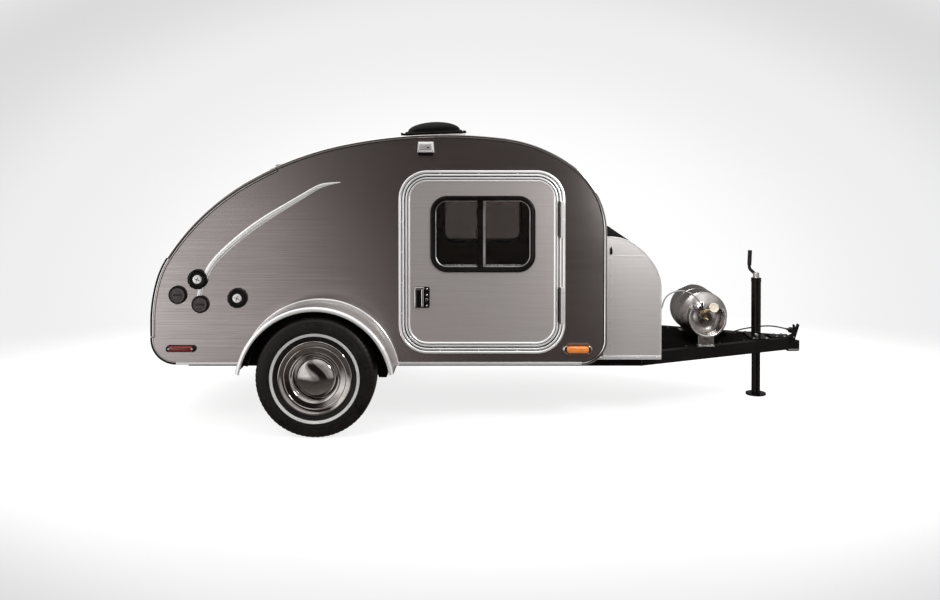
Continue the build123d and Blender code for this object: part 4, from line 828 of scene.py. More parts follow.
for side, sg in SIDES:
    d = "door_" + side
    hole = rr_path(DX0 - 0.006, DX1 + 0.006, DZ0 - 0.006, DZ1 + 0.006, DR + 0.006)
    leaf = rr_path(DX0, DX1, DZ0, DZ1, DR)
    sweep_xz("doorway_moulding_" + side, hole, FLANGE, sg, "bright", "trailer", True, angle=40.0)
    # dark strip at the bottom of the moulding's groove: painted shade in the groove
    sweep_xz("doorway_channel_" + side, hole, [(0.0120, 0.0060), (0.0120, 0.0074), (0.0170, 0.0074), (0.0170, 0.0060)], sg,
             "spring", "trailer", True)
    sweep_xz("doorway_stop_" + side, hole, [(-0.018, -0.0385), (-0.018, -0.0440), (-0.014, -0.0480), (0.022, -0.0480),
                                            (0.022, -0.0385)], sg, "rubber", "trailer", True)
    sweep_xz("leaf_edge_" + side, leaf, LEAF, sg, "bright", d, True, angle=40.0)
    # dark strip at the bottom of the leaf edge's groove: painted shade in the groove
    sweep_xz("leaf_channel_" + side, leaf, [(-0.0118, 0.0008), (-0.0118, 0.0022), (-0.0164, 0.0022), (-0.0164, 0.0008)],
             sg, "spring", d, True)
    sweep_xz("leaf_seal_" + side, leaf, [(0.0, -0.032), (0.0026, -0.030), (0.0030, -0.012), (0.0024, -0.006),
                                         (0.0, -0.004)], sg, "rubber", d, True)
    # flange screws
    bm = bmesh.new()
    x0, x1, z0, z1 = DX0 - 0.0205, DX1 + 0.0205, DZ0 - 0.0205, DZ1 + 0.0205
    for x in (-0.330, -0.102, 0.125):
        for z in (z0, z1):
            add_screw(bm, (x, sg * (HALF_W + 0.0070), z), (0, sg, 0), 0.0042, 0.0028)
    for z in (0.68, 0.86, 1.04, 1.22):
        add_screw(bm, (x0, sg * (HALF_W + 0.0070), z), (0, sg, 0), 0.0042, 0.0028)
    bm_object("doorway_screws_" + side, bm, "steel", "trailer")
    # hinges
    for tag, za, zb in (("upper", 1.124, 1.342), ("lower", 0.618, 0.834)):
        prism("hinge_leaf_" + tag + "_" + side, [(0.3830, za), (0.4070, za), (0.4070, zb), (0.3830, zb)], sg,
              HALF_W + 0.0005, HALF_W + 0.0155, "bright", "trailer", 0.004, 3)
        prof = [(0.0, za)]
        nk = 5
        for q in range(nk):
            a = za + (zb - za) * q / nk
            b = za + (zb - za) * (q + 1) / nk
            prof += [(0.0036, a + 0.0004), (0.0048, a + 0.0014), (0.0048, b - 0.0014), (0.0036, b - 0.0004)]
        prof.append((0.0, zb))
        # knuckles in dark spring steel: a real knuckle, partly painted shade of the slot beside the hinge
        revolve("hinge_knuckle_" + tag + "_" + side, prof, (0.376, sg * 0.775, 0.0), (0, 0, 1), "spring", "trailer", 20,
                closed=False)
        bm = bmesh.new()
        for z in (za + 0.022, (za + zb) / 2, zb - 0.022):
            add_screw(bm, (0.3950, sg * (HALF_W + 0.0154), z), (0, sg, 0), 0.0045, 0.0016)
        bm_object("hinge_screws_" + tag + "_" + side, bm, "steel", "trailer")
        prism("hinge_tab_" + tag + "_" + side, [(0.3610, za + 0.01), (0.3672, za + 0.01), (0.3672, zb - 0.01),
                                                (0.3610, zb - 0.01)], sg, HALF_W + 0.0005, HALF_W + 0.0085, "spring", d,
              0.002, 2)
    # latch: black plate with a chrome paddle and a lock
    lx, lz = -0.4366, 0.7735
    prism("latch_plate_" + side, rr_path(lx - 0.0450, lx + 0.0450, lz - 0.0620, lz + 0.0620, 0.010, 5), sg, HALF_W - 0.0005,
          HALF_W + 0.0060, "blackgloss", d, 0.002, 2)
    prism("latch_rim_" + side, rr_path(lx - 0.0440, lx - 0.0340, lz - 0.0600, lz + 0.0500, 0.004, 4), sg, HALF_W + 0.0055,
          HALF_W + 0.0110, "chrome", d, 0.0025, 2)
    prism("latch_paddle_" + side, rr_path(lx - 0.0030, lx + 0.0100, lz - 0.0540, lz + 0.0480, 0.004, 4), sg, HALF_W + 0.0055,
          HALF_W + 0.0220, "chrome", d, 0.004, 3)
    prism("latch_cap_" + side, rr_path(lx - 0.0420, lx + 0.0140, lz + 0.0440, lz + 0.0600, 0.005, 4), sg, HALF_W + 0.0055,
          HALF_W + 0.0170, "chrome", d, 0.004, 3)
    bm = bmesh.new()
    add_turned(bm, [(0.0, 0.0), (0.0085, 0.0), (0.0085, 0.004), (0.007, 0.0055), (0.0, 0.0055)],
               (lx + 0.0280, sg * (HALF_W + 0.0058), lz - 0.014), (0, sg, 0), 24)
    for dz in (-0.049, 0.014, 0.049):
        add_screw(bm, (lx + 0.0300, sg * (HALF_W + 0.0058), lz + dz), (0, sg, 0), 0.0050, 0.0022)
    bm_object("latch_lock_" + side, bm, "chrome", d)

    # window
    w_out = rr_path(WX0, WX1, WZ0, WZ1, WR)
    sweep_xz("window_rim_" + side, w_out, [(-0.0005, 0.0), (-0.0005, 0.0050), (-0.0030, 0.0086), (-0.0080, 0.0102),
                                           (-0.0130, 0.0096), (-0.0170, 0.0078), (-0.0225, 0.0072), (-0.0238, 0.0050),
                                           (-0.0238, 0.0060), (-0.0100, 0.0060), (-0.0100, 0.0)],
             sg, "blackgloss", d, True, angle=40.0)
    w_in = rr_path(WX0 + 0.024, WX1 - 0.024, WZ0 + 0.024, WZ1 - 0.024, WR - 0.024)
    sweep_xz("window_track_" + side, w_in, [(0.0004, -0.0088), (-0.0100, -0.0088), (-0.0100, -0.0050), (0.0004, -0.0020)],
             sg, "black", d, True)
    sweep_xz("window_bead_" + side, w_in, [(-0.0050, -0.0055), (-0.0095, -0.0055), (-0.0095, -0.0022), (-0.0072, -0.0010),
                                           (-0.0050, -0.0022)], sg, "steel", d, True)
    for tag, xa, xb in (("rear", WX0 + 0.085, -0.116), ("front", -0.056, WX1 - 0.085)):
        prism("window_sill_" + tag + "_" + side, [(xa, 0.9575), (xb, 0.9575), (xb, 0.9655), (xa, 0.9655)], sg, HALF_W - 0.0088,
              HALF_W + 0.0008, "satin", d, 0.0015, 2)
    prism("window_bar_" + side, [(-0.0765, 0.9560), (-0.0625, 0.9560), (-0.0625, 1.3400), (-0.0765, 1.3400)], sg,
          HALF_W - 0.0088, HALF_W + 0.0020, "steel", d, 0.0015, 2)
    prism("window_catch_" + side, [(-0.1220, 1.1320), (-0.1080, 1.1320), (-0.1080, 1.1850), (-0.1220, 1.1850)], sg,
          HALF_W - 0.0090, HALF_W + 0.0080, "plastic", d, 0.003, 2)

    # inside of the door: pull
    prism("door_pull_" + side, rr_path(-0.472, -0.412, 0.700, 0.842, 0.012, 5), sg, HALF_W - 0.0425, HALF_W - 0.0338,
          "plastic", d)

# ---------------------------------------------------------------- porch lamps
for side, sg in SIDES:
    cx, cz = -0.4130, 1.6580
    prism("porch_lamp_body_" + side, [(cx - 0.0490, cz - 0.0310), (cx + 0.0490, cz - 0.0310), (cx + 0.0440, cz + 0.0310),
                                      (cx - 0.0440, cz + 0.0310)], sg, HALF_W - 0.001, HALF_W + 0.0300, "pale", "trailer",
          0.009, 4)
    prism("porch_lamp_lens_" + side, [(cx - 0.0370, cz - 0.0170), (cx + 0.0370, cz - 0.0170), (cx + 0.0340, cz + 0.0190),
                                      (cx - 0.0340, cz + 0.0190)], sg, HALF_W + 0.0290, HALF_W + 0.0370, "clear", "trailer",
          0.006, 3)
    # black plate under the lamp: painted shadow of the lamp on the wall
    prism("porch_lamp_painted_shadow_" + side, [(cx - 0.0430, cz - 0.0500), (cx + 0.0430, cz - 0.0500), (cx + 0.0470, cz - 0.0305),
                                      (cx - 0.0470, cz - 0.0305)], sg, HALF_W - 0.001, HALF_W + 0.0200, "blackgloss",
          "trailer", 0.003, 2)
    bm = bmesh.new()
    add_box(bm, (cx + 0.0150, sg * (HALF_W + 0.0375), cz - 0.002), (0.016, 0.003, 0.007), bevel=0.001)
    for dx in (-0.041, 0.041):
        add_screw(bm, (cx + dx, sg * (HALF_W + 0.0295), cz - 0.022), (0, sg, 0), 0.003, 0.0016)
    bm_object("porch_lamp_switch_" + side, bm, "plastic", "trailer")


# ---------------------------------------------------------------- side lamps
def slot_path(cx, cz, w, h, n=12):
    r = h / 2
    return arc(cx - w / 2 + r, cz, r, 270, 90, n) + arc(cx + w / 2 - r, cz, r, 90, -90, n)


def lamp_dome(name, cx, cz, w, h, y0, rise, sg, mat, body, n=40, rows=8):
    """Domed lens with a slot-shaped foot."""
    foot = slot_path(cx, cz, w, h, n // 2 - 1)
    verts, m = [], len(foot)
    for i in range(rows):
        f = math.radians(90.0 * i / rows)
        kx = math.cos(f) ** 0.6
        verts += [(cx + (x - cx) * (0.25 + 0.75 * kx), sg * (y0 + rise * math.sin(f)), cz + (z - cz) * kx) for x, z in foot]
    faces = []
    for i in range(rows - 1):
        for j in range(m):
            a, b = i * m + j, i * m + (j + 1) % m
            faces.append((a, b, b + m, a + m))
    verts.append((cx, sg * (y0 + rise), cz))
    for j in range(m):
        faces.append(((rows - 1) * m + j, (rows - 1) * m + (j + 1) % m, len(verts) - 1))
    faces.append(tuple(reversed(range(m))))
    return finish_mesh(name, verts, faces, mat, body, 50.0)


for side, sg in SIDES:
    ax, az = 0.4810, 0.4660
    prism("amber_base_" + side, slot_path(ax, az, 0.174, 0.052), sg, HALF_W - 0.0005, HALF_W + 0.0060, "chrome", "trailer",
          0.002, 2)
    for tag, s2 in (("front", 1), ("rear", -1)):
        r = 0.0245
        cxe = ax + s2 * (0.084 - 0.0240)
        out_ = arc(cxe, az, r, 90 if s2 > 0 else 270, -90 if s2 > 0 else 90, 16)
        out_ += [(ax + s2 * 0.062, out_[-1][1] * 0.5 + az * 0.5), (ax + s2 * 0.062, out_[0][1] * 0.5 + az * 0.5)]
        prism("amber_cap_" + tag + "_" + side, out_, sg, HALF_W + 0.0055, HALF_W + 0.0235, "chrome", "trailer", 0.005, 3)
    lamp_dome("amber_dome_" + side, ax, az, 0.134, 0.042, HALF_W + 0.0195, 0.013, sg, "amber", "trailer")
    rx, rz = -1.8570, 0.4700
    prism("red_base_" + side, slot_path(rx, rz, 0.179, 0.041), sg, HALF_W - 0.0005, HALF_W + 0.0070, "blackgloss", "trailer",
          0.002, 2)
    for tag, s2 in (("front", 1), ("rear", -1)):
        r = 0.0185
        cxe = rx + s2 * (0.0865 - 0.0180)
        out_ = arc(cxe, rz, r, 90 if s2 > 0 else 270, -90 if s2 > 0 else 90, 12)
        prism("red_cap_" + tag + "_" + side, out_, sg, HALF_W + 0.0060, HALF_W + 0.0220, "blackgloss", "trailer", 0.004, 3)
        bm = bmesh.new()
        add_screw(bm, (cxe, sg * (HALF_W + 0.0219), rz), (0, sg, 0), 0.0060, 0.0030)
        bm_object("red_screw_" + tag + "_" + side, bm, "chrome", "trailer")
    lamp_dome("red_dome_" + side, rx, rz, 0.136, 0.033, HALF_W + 0.0195, 0.010, sg, "red", "trailer")

# ---------------------------------------------------------------- side ports
for tag, px, pz, r, kind in (("a", -1.757, 0.880, 0.057, 1), ("b", -1.875, 0.788, 0.052, 0), ("c", -1.742, 0.733, 0.050, 0),
                             ("d", -1.523, 0.769, 0.057, 1)):
    o = (px, -HALF_W, pz)
    if kind:
        prof = [(0.0, 0.0085), (r + 0.001, 0.0085), (r + 0.002, 0.0105), (r + 0.001, 0.0165), (r - 0.004, 0.0195), (r - 0.012, 0.0200),
                (r - 0.014, 0.0180), (r - 0.016, 0.0140), (0.030, 0.0135), (0.029, 0.0160), (0.0, 0.0160)]
        revolve("port_ring_" + tag, prof, o, (0, -1, 0), "blackgloss", "trailer", 120, 30.0, closed=False,
                rad=lambda s, j, rr: rr - 0.0035 if (j in (2, 3) and s % 10 in (0, 1)) else rr)
        bm = bmesh.new()
        add_turned(bm, [(0.0, 0.0155), (0.0262, 0.0155), (0.0262, 0.0190), (0.0245, 0.0210), (0.0200, 0.0216), (0.0, 0.0210)], o,
                   (0, -1, 0), 40)
        bm_object("port_centre_" + tag, bm, "bright", "trailer")
        bm = bmesh.new()
        for w in (20, 110):
            add_box(bm, (px, -HALF_W - 0.0215, pz), (0.034, 0.0016, 0.0034), Matrix.Rotation(math.radians(w), 3, "Y"))
        bm_object("port_key_" + tag, bm, "spring", "trailer")
    else:
        prof = [(0.0, 0.0085), (r + 0.001, 0.0085), (r + 0.002, 0.0100), (r, 0.0140), (r - 0.005, 0.0160), (r - 0.009, 0.0158),
                (r - 0.011, 0.0142), (r - 0.020, 0.0140), (r - 0.022, 0.0154), (0.0, 0.0160)]
        revolve("port_cover_" + tag, prof, o, (0, -1, 0), "cover", "trailer", 72, 30.0, mats=["blackgloss"],
                pick=lambda j: 0 if j >= 5 else 1, closed=False)
        bm = bmesh.new()
        add_box(bm, (px, -HALF_W - 0.0150, pz - r + 0.004), (0.022, 0.012, 0.012), bevel=0.002)
        add_box(bm, (px, -HALF_W - 0.0165, pz), (0.050, 0.0040, 0.010), bevel=0.002)
        bm_object("port_tab_" + tag, bm, "plastic", "trailer")


# ---------------------------------------------------------------- nose box
BOX_ARCS = [(0.2660, 31.24), (0.4461, 19.74), (0.2682, 39.02)]


def box_line(n=16):
    x, z, h = 1.003, 0.8003, 0.0
    pts = [(1.003, 0.3885), (1.003, 0.8003)]
    for r, turn in BOX_ARCS:
        t = math.radians(turn)
        cx, cz = x - r * math.cos(h), z - r * math.sin(h)
        pts += [(cx + r * math.cos(h + t * i / n), cz + r * math.sin(h + t * i / n)) for i in range(1, n + 1)]
        x, z = pts[-1]
        h += t
    return [(0.6745, z)] + pts[::-1]


def cut_z(pts, z0, above):
    """Part of a falling line above or below z0, with the end put on z0."""
    out = []
    for a, b in zip(pts, pts[1:]):
        if above and a[1] >= z0 or not above and b[1] <= z0:
            if above:
                out.append(a)
                if b[1] < z0:
                    k = (a[1] - z0) / (a[1] - b[1])
                    out.append((a[0] + (b[0] - a[0]) * k, z0))
            else:
                if a[1] > z0:
                    k = (a[1] - z0) / (a[1] - b[1])
                    out.append((a[0] + (b[0] - a[0]) * k, z0))
                out.append(b)
    return out


BL = box_line()
LID_LINE = cut_z(BL, 0.9975, True)
TUB_LINE = cut_z(BL, 0.9905, False)
BOX_Y = 0.610
BOX_EDGE = [(-0.0060, 0.0), (-0.0060, 0.0006), (-0.0045, 0.0012), (-0.0020, 0.0015), (0.0006, 0.0012), (0.0016, 0.0003),
            (0.0018, -0.0180), (0.0002, -0.0182), (0.0, 0.0)]
for side, sg in SIDES:
    sweep_xz("lid_edge_" + side, LID_LINE, BOX_EDGE, sg, "box", "nose_lid", y=BOX_Y)
    sweep_xz("tub_edge_" + side, TUB_LINE, BOX_EDGE, sg, "box", "trailer", y=BOX_Y)
    for tag, za, zb, body in (("tub", 0.3890, 0.9905, "trailer"), ("lid", 0.9975, 1.0980, "nose_lid")):
        prism("box_strap_" + tag + "_" + side, [(0.6745, za), (0.7080, za), (0.7080, zb), (0.6745, zb)], sg, BOX_Y - 0.0005,
              BOX_Y + 0.0020, "box", body, 0.0012, 2)
    prism("box_flange_" + side, [(0.5150, 0.3710), (1.0028, 0.3710), (1.0028, 0.3925), (0.5150, 0.3925)], sg, BOX_Y - 0.0005,
          BOX_Y + 0.0042, "bright", "trailer", 0.0012, 2)
    prism("box_catch_" + side, [(0.6915, 1.0100), (0.7045, 1.0100), (0.7060, 1.0280), (0.7000, 1.0580), (0.6925, 1.0460)],
          sg, BOX_Y + 0.0025, BOX_Y + 0.0150, "blackgloss", "nose_lid", 0.003, 2)
    bm = bmesh.new()
    for x in (0.635, 0.747, 0.8605, 0.975):
        add_screw(bm, (x, sg * (BOX_Y + 0.0040), 0.3820), (0, sg, 0), 0.0052, 0.0030)
    for z in (0.46, 0.60, 0.74, 0.88):
        add_screw(bm, (0.6950, sg * (BOX_Y + 0.0028), z), (0, sg, 0), 0.0042, 0.0024)
    bm_object("box_rivets_" + side, bm, "steel", "trailer")
for side, sg in SIDES:
    prism("lid_lip_" + side, [(0.6760, 0.9915), (0.9050, 0.9915), (0.9030, 1.0010), (0.6760, 1.0010)], sg, BOX_Y - 0.0005,
          BOX_Y + 0.0014, "box", "nose_lid", 0.0006, 1)
# gasket on the tub's upper edge
seam = [p for p in BL if p[1] < 0.9905]
x_seam = next(x for x, z in cut_z(BL, 0.9905, False))
bm = bmesh.new()
for sg in (-1, 1):
    add_box(bm, ((0.676 + x_seam) / 2 - 0.003, sg * 0.6050, 0.9936), (x_seam - 0.676 - 0.006, 0.0080, 0.0056), bevel=0.001)
add_box(bm, (x_seam - 0.0060, 0.0, 0.9936), (0.0080, 1.206, 0.0056), bevel=0.001)
bm_object("box_gasket", bm, "box", "trailer")
# draw latches on the front, and the lid's hinge
bm = bmesh.new()
bh = bmesh.new()
i_seam = min(range(len(BL)), key=lambda q: abs(BL[q][1] - 0.994))
a, b = BL[i_seam - 1], BL[i_seam + 1]
tang = Vector((b[0] - a[0], 0.0, b[1] - a[1])).normalized()
norm = Vector((-tang.z, 0.0, tang.x))
norm = norm if norm.x > 0 else -norm
for yy in (-0.36, 0.36):
    p = Vector((BL[i_seam][0], yy, BL[i_seam][1]))
    rot = Matrix((( -tang.x, 0, norm.x), (0, 1, 0), (-tang.z, 0, norm.z))).to_3x3()
    add_box(bm, p - Vector((-tang.x, 0, -tang.z)) * 0.038 + norm * 0.004, (0.060, 0.040, 0.007), rot, 0.002)
    add_box(bm, p - Vector((-tang.x, 0, -tang.z)) * 0.030 + norm * 0.0105, (0.050, 0.024, 0.007), rot, 0.002)
    add_box(bh, p + Vector((-tang.x, 0, -tang.z)) * 0.024 + norm * 0.004, (0.026, 0.036, 0.007), rot, 0.002)
bm_object("box_latches", bm, "steel", "trailer")
bm_object("box_latch_hooks", bh, "steel", "nose_lid")
prof = [(0.0, -0.600)]
for q in range(20):
    a, b = -0.600 + 0.060 * q, -0.540 + 0.060 * q
    prof += [(0.0034, a + 0.0003), (0.0042, a + 0.0012), (0.0042, b - 0.0012), (0.0034, b - 0.0003)]
prof.append((0.0, 0.600))
revolve("box_hinge", prof, (0.671, 0.0, 1.117), (0, 1, 0), "steel", "trailer", 18, closed=False)

# ---------------------------------------------------------------- roof vent
VT = math.radians(2.3)
V_X = Vector((math.cos(VT), 0.0, math.sin(VT)))
V_Z = Vector((-math.sin(VT), 0.0, math.cos(VT)))
V_O = Vector((-0.397, 0.0, 1.7365))


def square_ring(a, z, p, m=96):
    """Rounded square of half width a, as points in the vent's own directions."""
    out = []
    for s in range(m):
        w = 2 * math.pi * (s + 0.5) / m
        c, q = math.cos(w), math.sin(w)
        k = (abs(c) ** p + abs(q) ** p) ** (-1.0 / p)
        out.append(V_O + V_X * (a * k * c) + Vector((0, 1, 0)) * (a * k * q) + V_Z * z)
    return out


outer = [(0.2100, 0.0004, 14), (0.2100, 0.0092, 14), (0.2085, 0.0105, 14), (0.2020, 0.0108, 12), (0.1930, 0.0118, 10),
         (0.1850, 0.0175, 9), (0.1835, 0.0215, 8), (0.1820, 0.0230, 8), (0.1760, 0.0236, 7), (0.1715, 0.0242, 6)]
for q in range(1, 17):
    f = math.radians(90.0 * q / 16)
    outer.append((max(0.1700 * math.cos(f), 0.0006), 0.0242 + 0.0588 * math.sin(f), 6 - 4 * math.sin(f)))
inner = [(max(a - 0.0035, 0.0006), z - 0.0035, p) for a, z, p in outer[2:]][::-1] + [(0.2060, 0.0004, 14)]
verts, faces = [], []
for a, z, p in outer + inner:
    verts += square_ring(a, z, p)
rows, m = len(outer) + len(inner), 96
for i in range(rows):
    if i == len(outer) - 1:
        continue
    a, b = i * m, ((i + 1) % rows) * m
    for j in range(m):
        jj = (j + 1) % m
        faces.append((a + j, a + jj, b + jj, b + j))
faces.append(tuple((len(outer) - 1) * m + j for j in range(m)))
faces.append(tuple(len(outer) * m + j for j in reversed(range(m))))
dome = finish_mesh("vent_dome", verts, faces, "dome", "roof_vent", 32.0)
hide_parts("vent_lid")
rim = bmesh.new()
for sx in (-1, 1):
    for sy in (-1, 1):
        p = V_O + V_X * (sx * 0.2015) + Vector((0, sy * 0.2015, 0)) + V_Z * 0.0120
        add_box(rim, p, (0.015, 0.015, 0.0100), Matrix.Rotation(-VT, 3, "Y"), 0.002)
    p = V_O + V_X * (sx * 0.2025) + V_Z * 0.0120
    add_box(rim, p, (0.011, 0.360, 0.0040), Matrix.Rotation(-VT, 3, "Y"), 0.001)
bm_object("vent_corner_blocks", rim, "blackgloss", "roof_vent")
bm = bmesh.new()
for s in range(6):
    for t in (-1, 1):
        for axis in (0, 1):
            u = -0.165 + 0.066 * s
            ax_, ay_ = (u, t * 0.1900) if axis == 0 else (t * 0.1900, u)
            p = V_O + V_X * ax_ + Vector((0, ay_, 0)) - V_Z * 0.0056
            add_screw(bm, p, V_Z, 0.0032, 0.0016)
bm_object("vent_base_screws", bm, "steel", "trailer")


# ---------------------------------------------------------------- roof and hatch skins
def place_on(rows, x):
    """Point and outward normal of the outline at x."""
    pts = outline(rows, 0.0, 0.25)
    i = min(range(1, len(pts) - 1), key=lambda q: abs(pts[q][0] - x))
    a, b = pts[i - 1], pts[i + 1]
    t = Vector((b[0] - a[0], 0.0, b[1] - a[1])).normalized()
    n = Vector((-t.z, 0.0, t.x))
    return Vector((pts[i][0], 0.0, pts[i][1])), n, t


def basis(t, n):
    return Matrix(((t.x, 0.0, n.x), (t.y, 1.0, n.y), (t.z, 0.0, n.z)))


for tag, rows, xs, body, zoff in (("roof", ROOF_ROWS, (-0.885, 0.044), "trailer", 0.0), ("hatch", HATCH_ROWS, (-1.640,), "hatch", 0.0)):
    for i, x in enumerate(xs):
        p, n, t = place_on(rows, x)
        bm = bmesh.new()
        add_box(bm, p + n * 0.0006, (0.034, 1.490, 0.0030), basis(t, n), 0.001)
        bm_object(tag + "_batten_%d" % i, bm, "satin", body)
        bm = bmesh.new()
        for s in range(25):
            for d in (-0.010, 0.010):
                add_screw(bm, p + t * d + n * 0.0020 + Vector((0, -0.72 + 0.06 * s, 0)), n, 0.0034, 0.0018)
        bm_object(tag + "_batten_rivets_%d" % i, bm, "steel", body)

for tag, rows, body, x_lo, x_hi in (("roof", ROOF_ROWS, "trailer", -1.24, 0.62), ("hatch", HATCH_ROWS, "hatch", -2.015, -1.33)):
    pts = outline(rows, 0.0, 0.25)
    bm = bmesh.new()
    run, last = 0.0, pts[0]
    for i in range(1, len(pts) - 1):
        run += math.hypot(pts[i][0] - last[0], pts[i][1] - last[1])
        last = pts[i]
        if run < 0.07:
            continue
        run = 0.0
        if not x_lo < pts[i][0] < x_hi:
            continue
        t = Vector((pts[i + 1][0] - pts[i - 1][0], 0.0, pts[i + 1][1] - pts[i - 1][1])).normalized()
        n = Vector((-t.z, 0.0, t.x))
        for sg in (-1, 1):
            add_screw(bm, Vector((pts[i][0], sg * 0.738, pts[i][1])) - n * 0.0003, n, 0.0034, 0.0018)
    bm_object(tag + "_edge_rivets", bm, "steel", body)

# piano hinge of the hatch
hp = HINGE + HN * 0.008
prof = [(0.0, -0.755)]
for q in range(24):
    a, b = -0.755 + 1.51 * q / 24, -0.755 + 1.51 * (q + 1) / 24
    prof += [(0.0042, a + 0.0004), (0.0052, a + 0.0014), (0.0052, b - 0.0014), (0.0042, b - 0.0004)]
prof.append((0.0, 0.755))
revolve("hatch_hinge_pin", prof, hp, (0, 1, 0), "satin", "trailer", 20, closed=False)
bm = bmesh.new()
add_box(bm, HINGE + HT * 0.028 + HN * 0.0020, (0.038, 1.500, 0.0036), basis(HT, HN), 0.0012)
bm_object("hatch_hinge_leaf_front", bm, "satin", "trailer")
bm = bmesh.new()
add_box(bm, HINGE - HT * 0.028 + HN * 0.0012, (0.036, 1.500, 0.0036), basis(HT, HN), 0.0012)
bm_object("hatch_hinge_leaf_rear", bm, "satin", "hatch")
for tag, s2, body in (("front", 1, "trailer"), ("rear", -1, "hatch")):
    bm = bmesh.new()
    for s in range(24):
        add_screw(bm, HINGE + HT * (0.030 * s2) + HN * (0.0036 if s2 > 0 else 0.0028) + Vector((0, -0.725 + 0.063 * s, 0)), HN,
                  0.0036, 0.0018)
    bm_object("hatch_hinge_screws_" + tag, bm, "steel", body)

# handles low on the hatch
pts = outline((0,), 0.0, 0.2)
i_h = min(range(1, len(pts) - 1), key=lambda q: abs(pts[q][1] - 0.800))
t = Vector((pts[i_h + 1][0] - pts[i_h - 1][0], 0.0, pts[i_h + 1][1] - pts[i_h - 1][1])).normalized()
n = Vector((-t.z, 0.0, t.x))
hb = basis(t, n)
for tag, yy in (("right", -0.46), ("left", 0.46)):
    p = Vector((pts[i_h][0], yy, pts[i_h][1]))
    bm = bmesh.new()
    add_box(bm, p + n * 0.0015, (0.066, 0.130, 0.0050), hb, 0.0018)
    bm_object("hatch_handle_plate_" + tag, bm, "blackgloss", "hatch")
    bm = bmesh.new()
    add_box(bm, p + n * 0.0062 - t * 0.004, (0.024, 0.104, 0.0070), hb, 0.003, 3)
    add_turned(bm, [(0.0, 0.003), (0.009, 0.003), (0.009, 0.0085), (0.0, 0.0092)], p + Vector((0, 0.044, 0)) + t * 0.018, n, 20)
    for ya in (-0.056, 0.056):
        add_screw(bm, p + n * 0.0038 + Vector((0, ya, 0)) + t * 0.022, n, 0.0040, 0.0016)
    bm_object("hatch_handle_" + tag, bm, "chrome", "hatch")
# lower edge of the hatch: grip rail
bm = bmesh.new()
add_box(bm, (REAR_X + 0.0130, 0.0, 0.5480), (0.0250, 1.500, 0.0120), bevel=0.003)
bm_object("hatch_foot_rail", bm, "satin", "hatch")

# ---------------------------------------------------------------- tail
for side, sg in SIDES:
    ring = slot_path(0.0, 0.456, 0.168, 0.060)
    inn = slot_path(0.0, 0.456, 0.154, 0.046)
    verts = []
    for (a, za), (b, zb) in zip(ring, inn):
        yc = sg * 0.585
        verts += [(-2.0240, yc + a, za), (-2.0385, yc + a, za), (-2.0393, yc + a * 0.98, 0.456 + (za - 0.456) * 0.96),
                  (-2.0385, yc + b, zb), (-2.0366, yc + b, zb)]
    m, nring = 5, len(ring)
    faces = [(i * m + j, i * m + j + 1, ((i + 1) % nring) * m + j + 1, ((i + 1) % nring) * m + j) for i in range(nring) for j in range(m - 1)]
    faces += [(i * m + 4, i * m, ((i + 1) % nring) * m, ((i + 1) % nring) * m + 4) for i in range(nring)]
    finish_mesh("tail_lamp_bezel_" + side, verts, faces, "chrome", "trailer", 30.0)
    bm = bmesh.new()
    for ya in (-0.050, 0.0, 0.050):
        add_turned(bm, [(0.0, 0.0), (0.0150, 0.0), (0.0140, 0.0010), (0.0, 0.0018)], (-2.0371, sg * 0.585 + ya, 0.456), (-1, 0, 0), 24)
    bm_object("tail_lamp_optics_" + side, bm, "red", "trailer")
bm = bmesh.new()
add_box(bm, (-2.0335, 0.0, 0.4560), (0.0040, 0.326, 0.1360), bevel=0.0015)
add_box(bm, (-2.0180, 0.0, 0.4560), (0.0280, 0.060, 0.0600), bevel=0.002)
bm_object("plate_bracket", bm, "black", "trailer")
bm = bmesh.new()
add_box(bm, (-2.0364, 0.0, 0.4560), (0.0022, 0.304, 0.1140), bevel=0.0008)
bm_object("blank_plate", bm, "pale", "trailer")
bm = bmesh.new()
add_box(bm, (-2.0280, 0.0, 0.5290), (0.0170, 0.110, 0.0110), bevel=0.003)
bm_object("plate_lamp", bm, "blackgloss", "trailer")
bm = bmesh.new()
for ya in (-0.13, 0.13):
    add_screw(bm, (-2.0374, ya, 0.500), (-1, 0, 0), 0.0042, 0.0016)
bm_object("plate_screws", bm, "steel", "trailer")

# ---------------------------------------------------------------- gas tank
TX, TZ = 1.354, 0.562
lip = [(TX + 0.1130 * math.cos(math.radians(w)), -0.3105, TZ + 0.1130 * math.sin(math.radians(w))) for w in range(150, 391, 4)]
bm = bmesh.new()
add_tube(bm, lip, 0.0085, 14)
for w in (150, 390):
    add_tube(bm, [(TX + 0.1128 * math.cos(math.radians(w)), y, TZ + 0.1128 * math.sin(math.radians(w))) for y in (-0.3105, -0.275, -0.250)],
             0.0052, 12)
bm_object("collar_lip", bm, "tanklip", "trailer")
bm = bmesh.new()
for yy in (-0.192, -0.030, 0.132):
    add_turned(bm, [(0.1500, -0.004), (0.1528, -0.003), (0.1536, 0.0), (0.1528, 0.003), (0.1500, 0.004)], (TX, yy, TZ), (0, 1, 0), 96)
bm_object("tank_seams", bm, "tank", "trailer")
bm = bmesh.new()
add_box(bm, (1.3450, -0.3095, 0.4210), (0.0940, 0.0030, 0.0680), bevel=0.0010)
add_box(bm, (1.3450, -0.2910, 0.3890), (0.1060, 0.0700, 0.0060), bevel=0.0020)
for dx in (-0.0475, 0.0475):
    add_box(bm, (1.3450 + dx, -0.2910, 0.4210), (0.0030, 0.0380, 0.0680), bevel=0.0010)
add_box(bm, (1.3450, 0.2290, 0.3870), (0.1300, 0.0700, 0.0070), bevel=0.0020)
bm_object("tank_feet", bm, "tanklip", "trailer")
bm = bmesh.new()
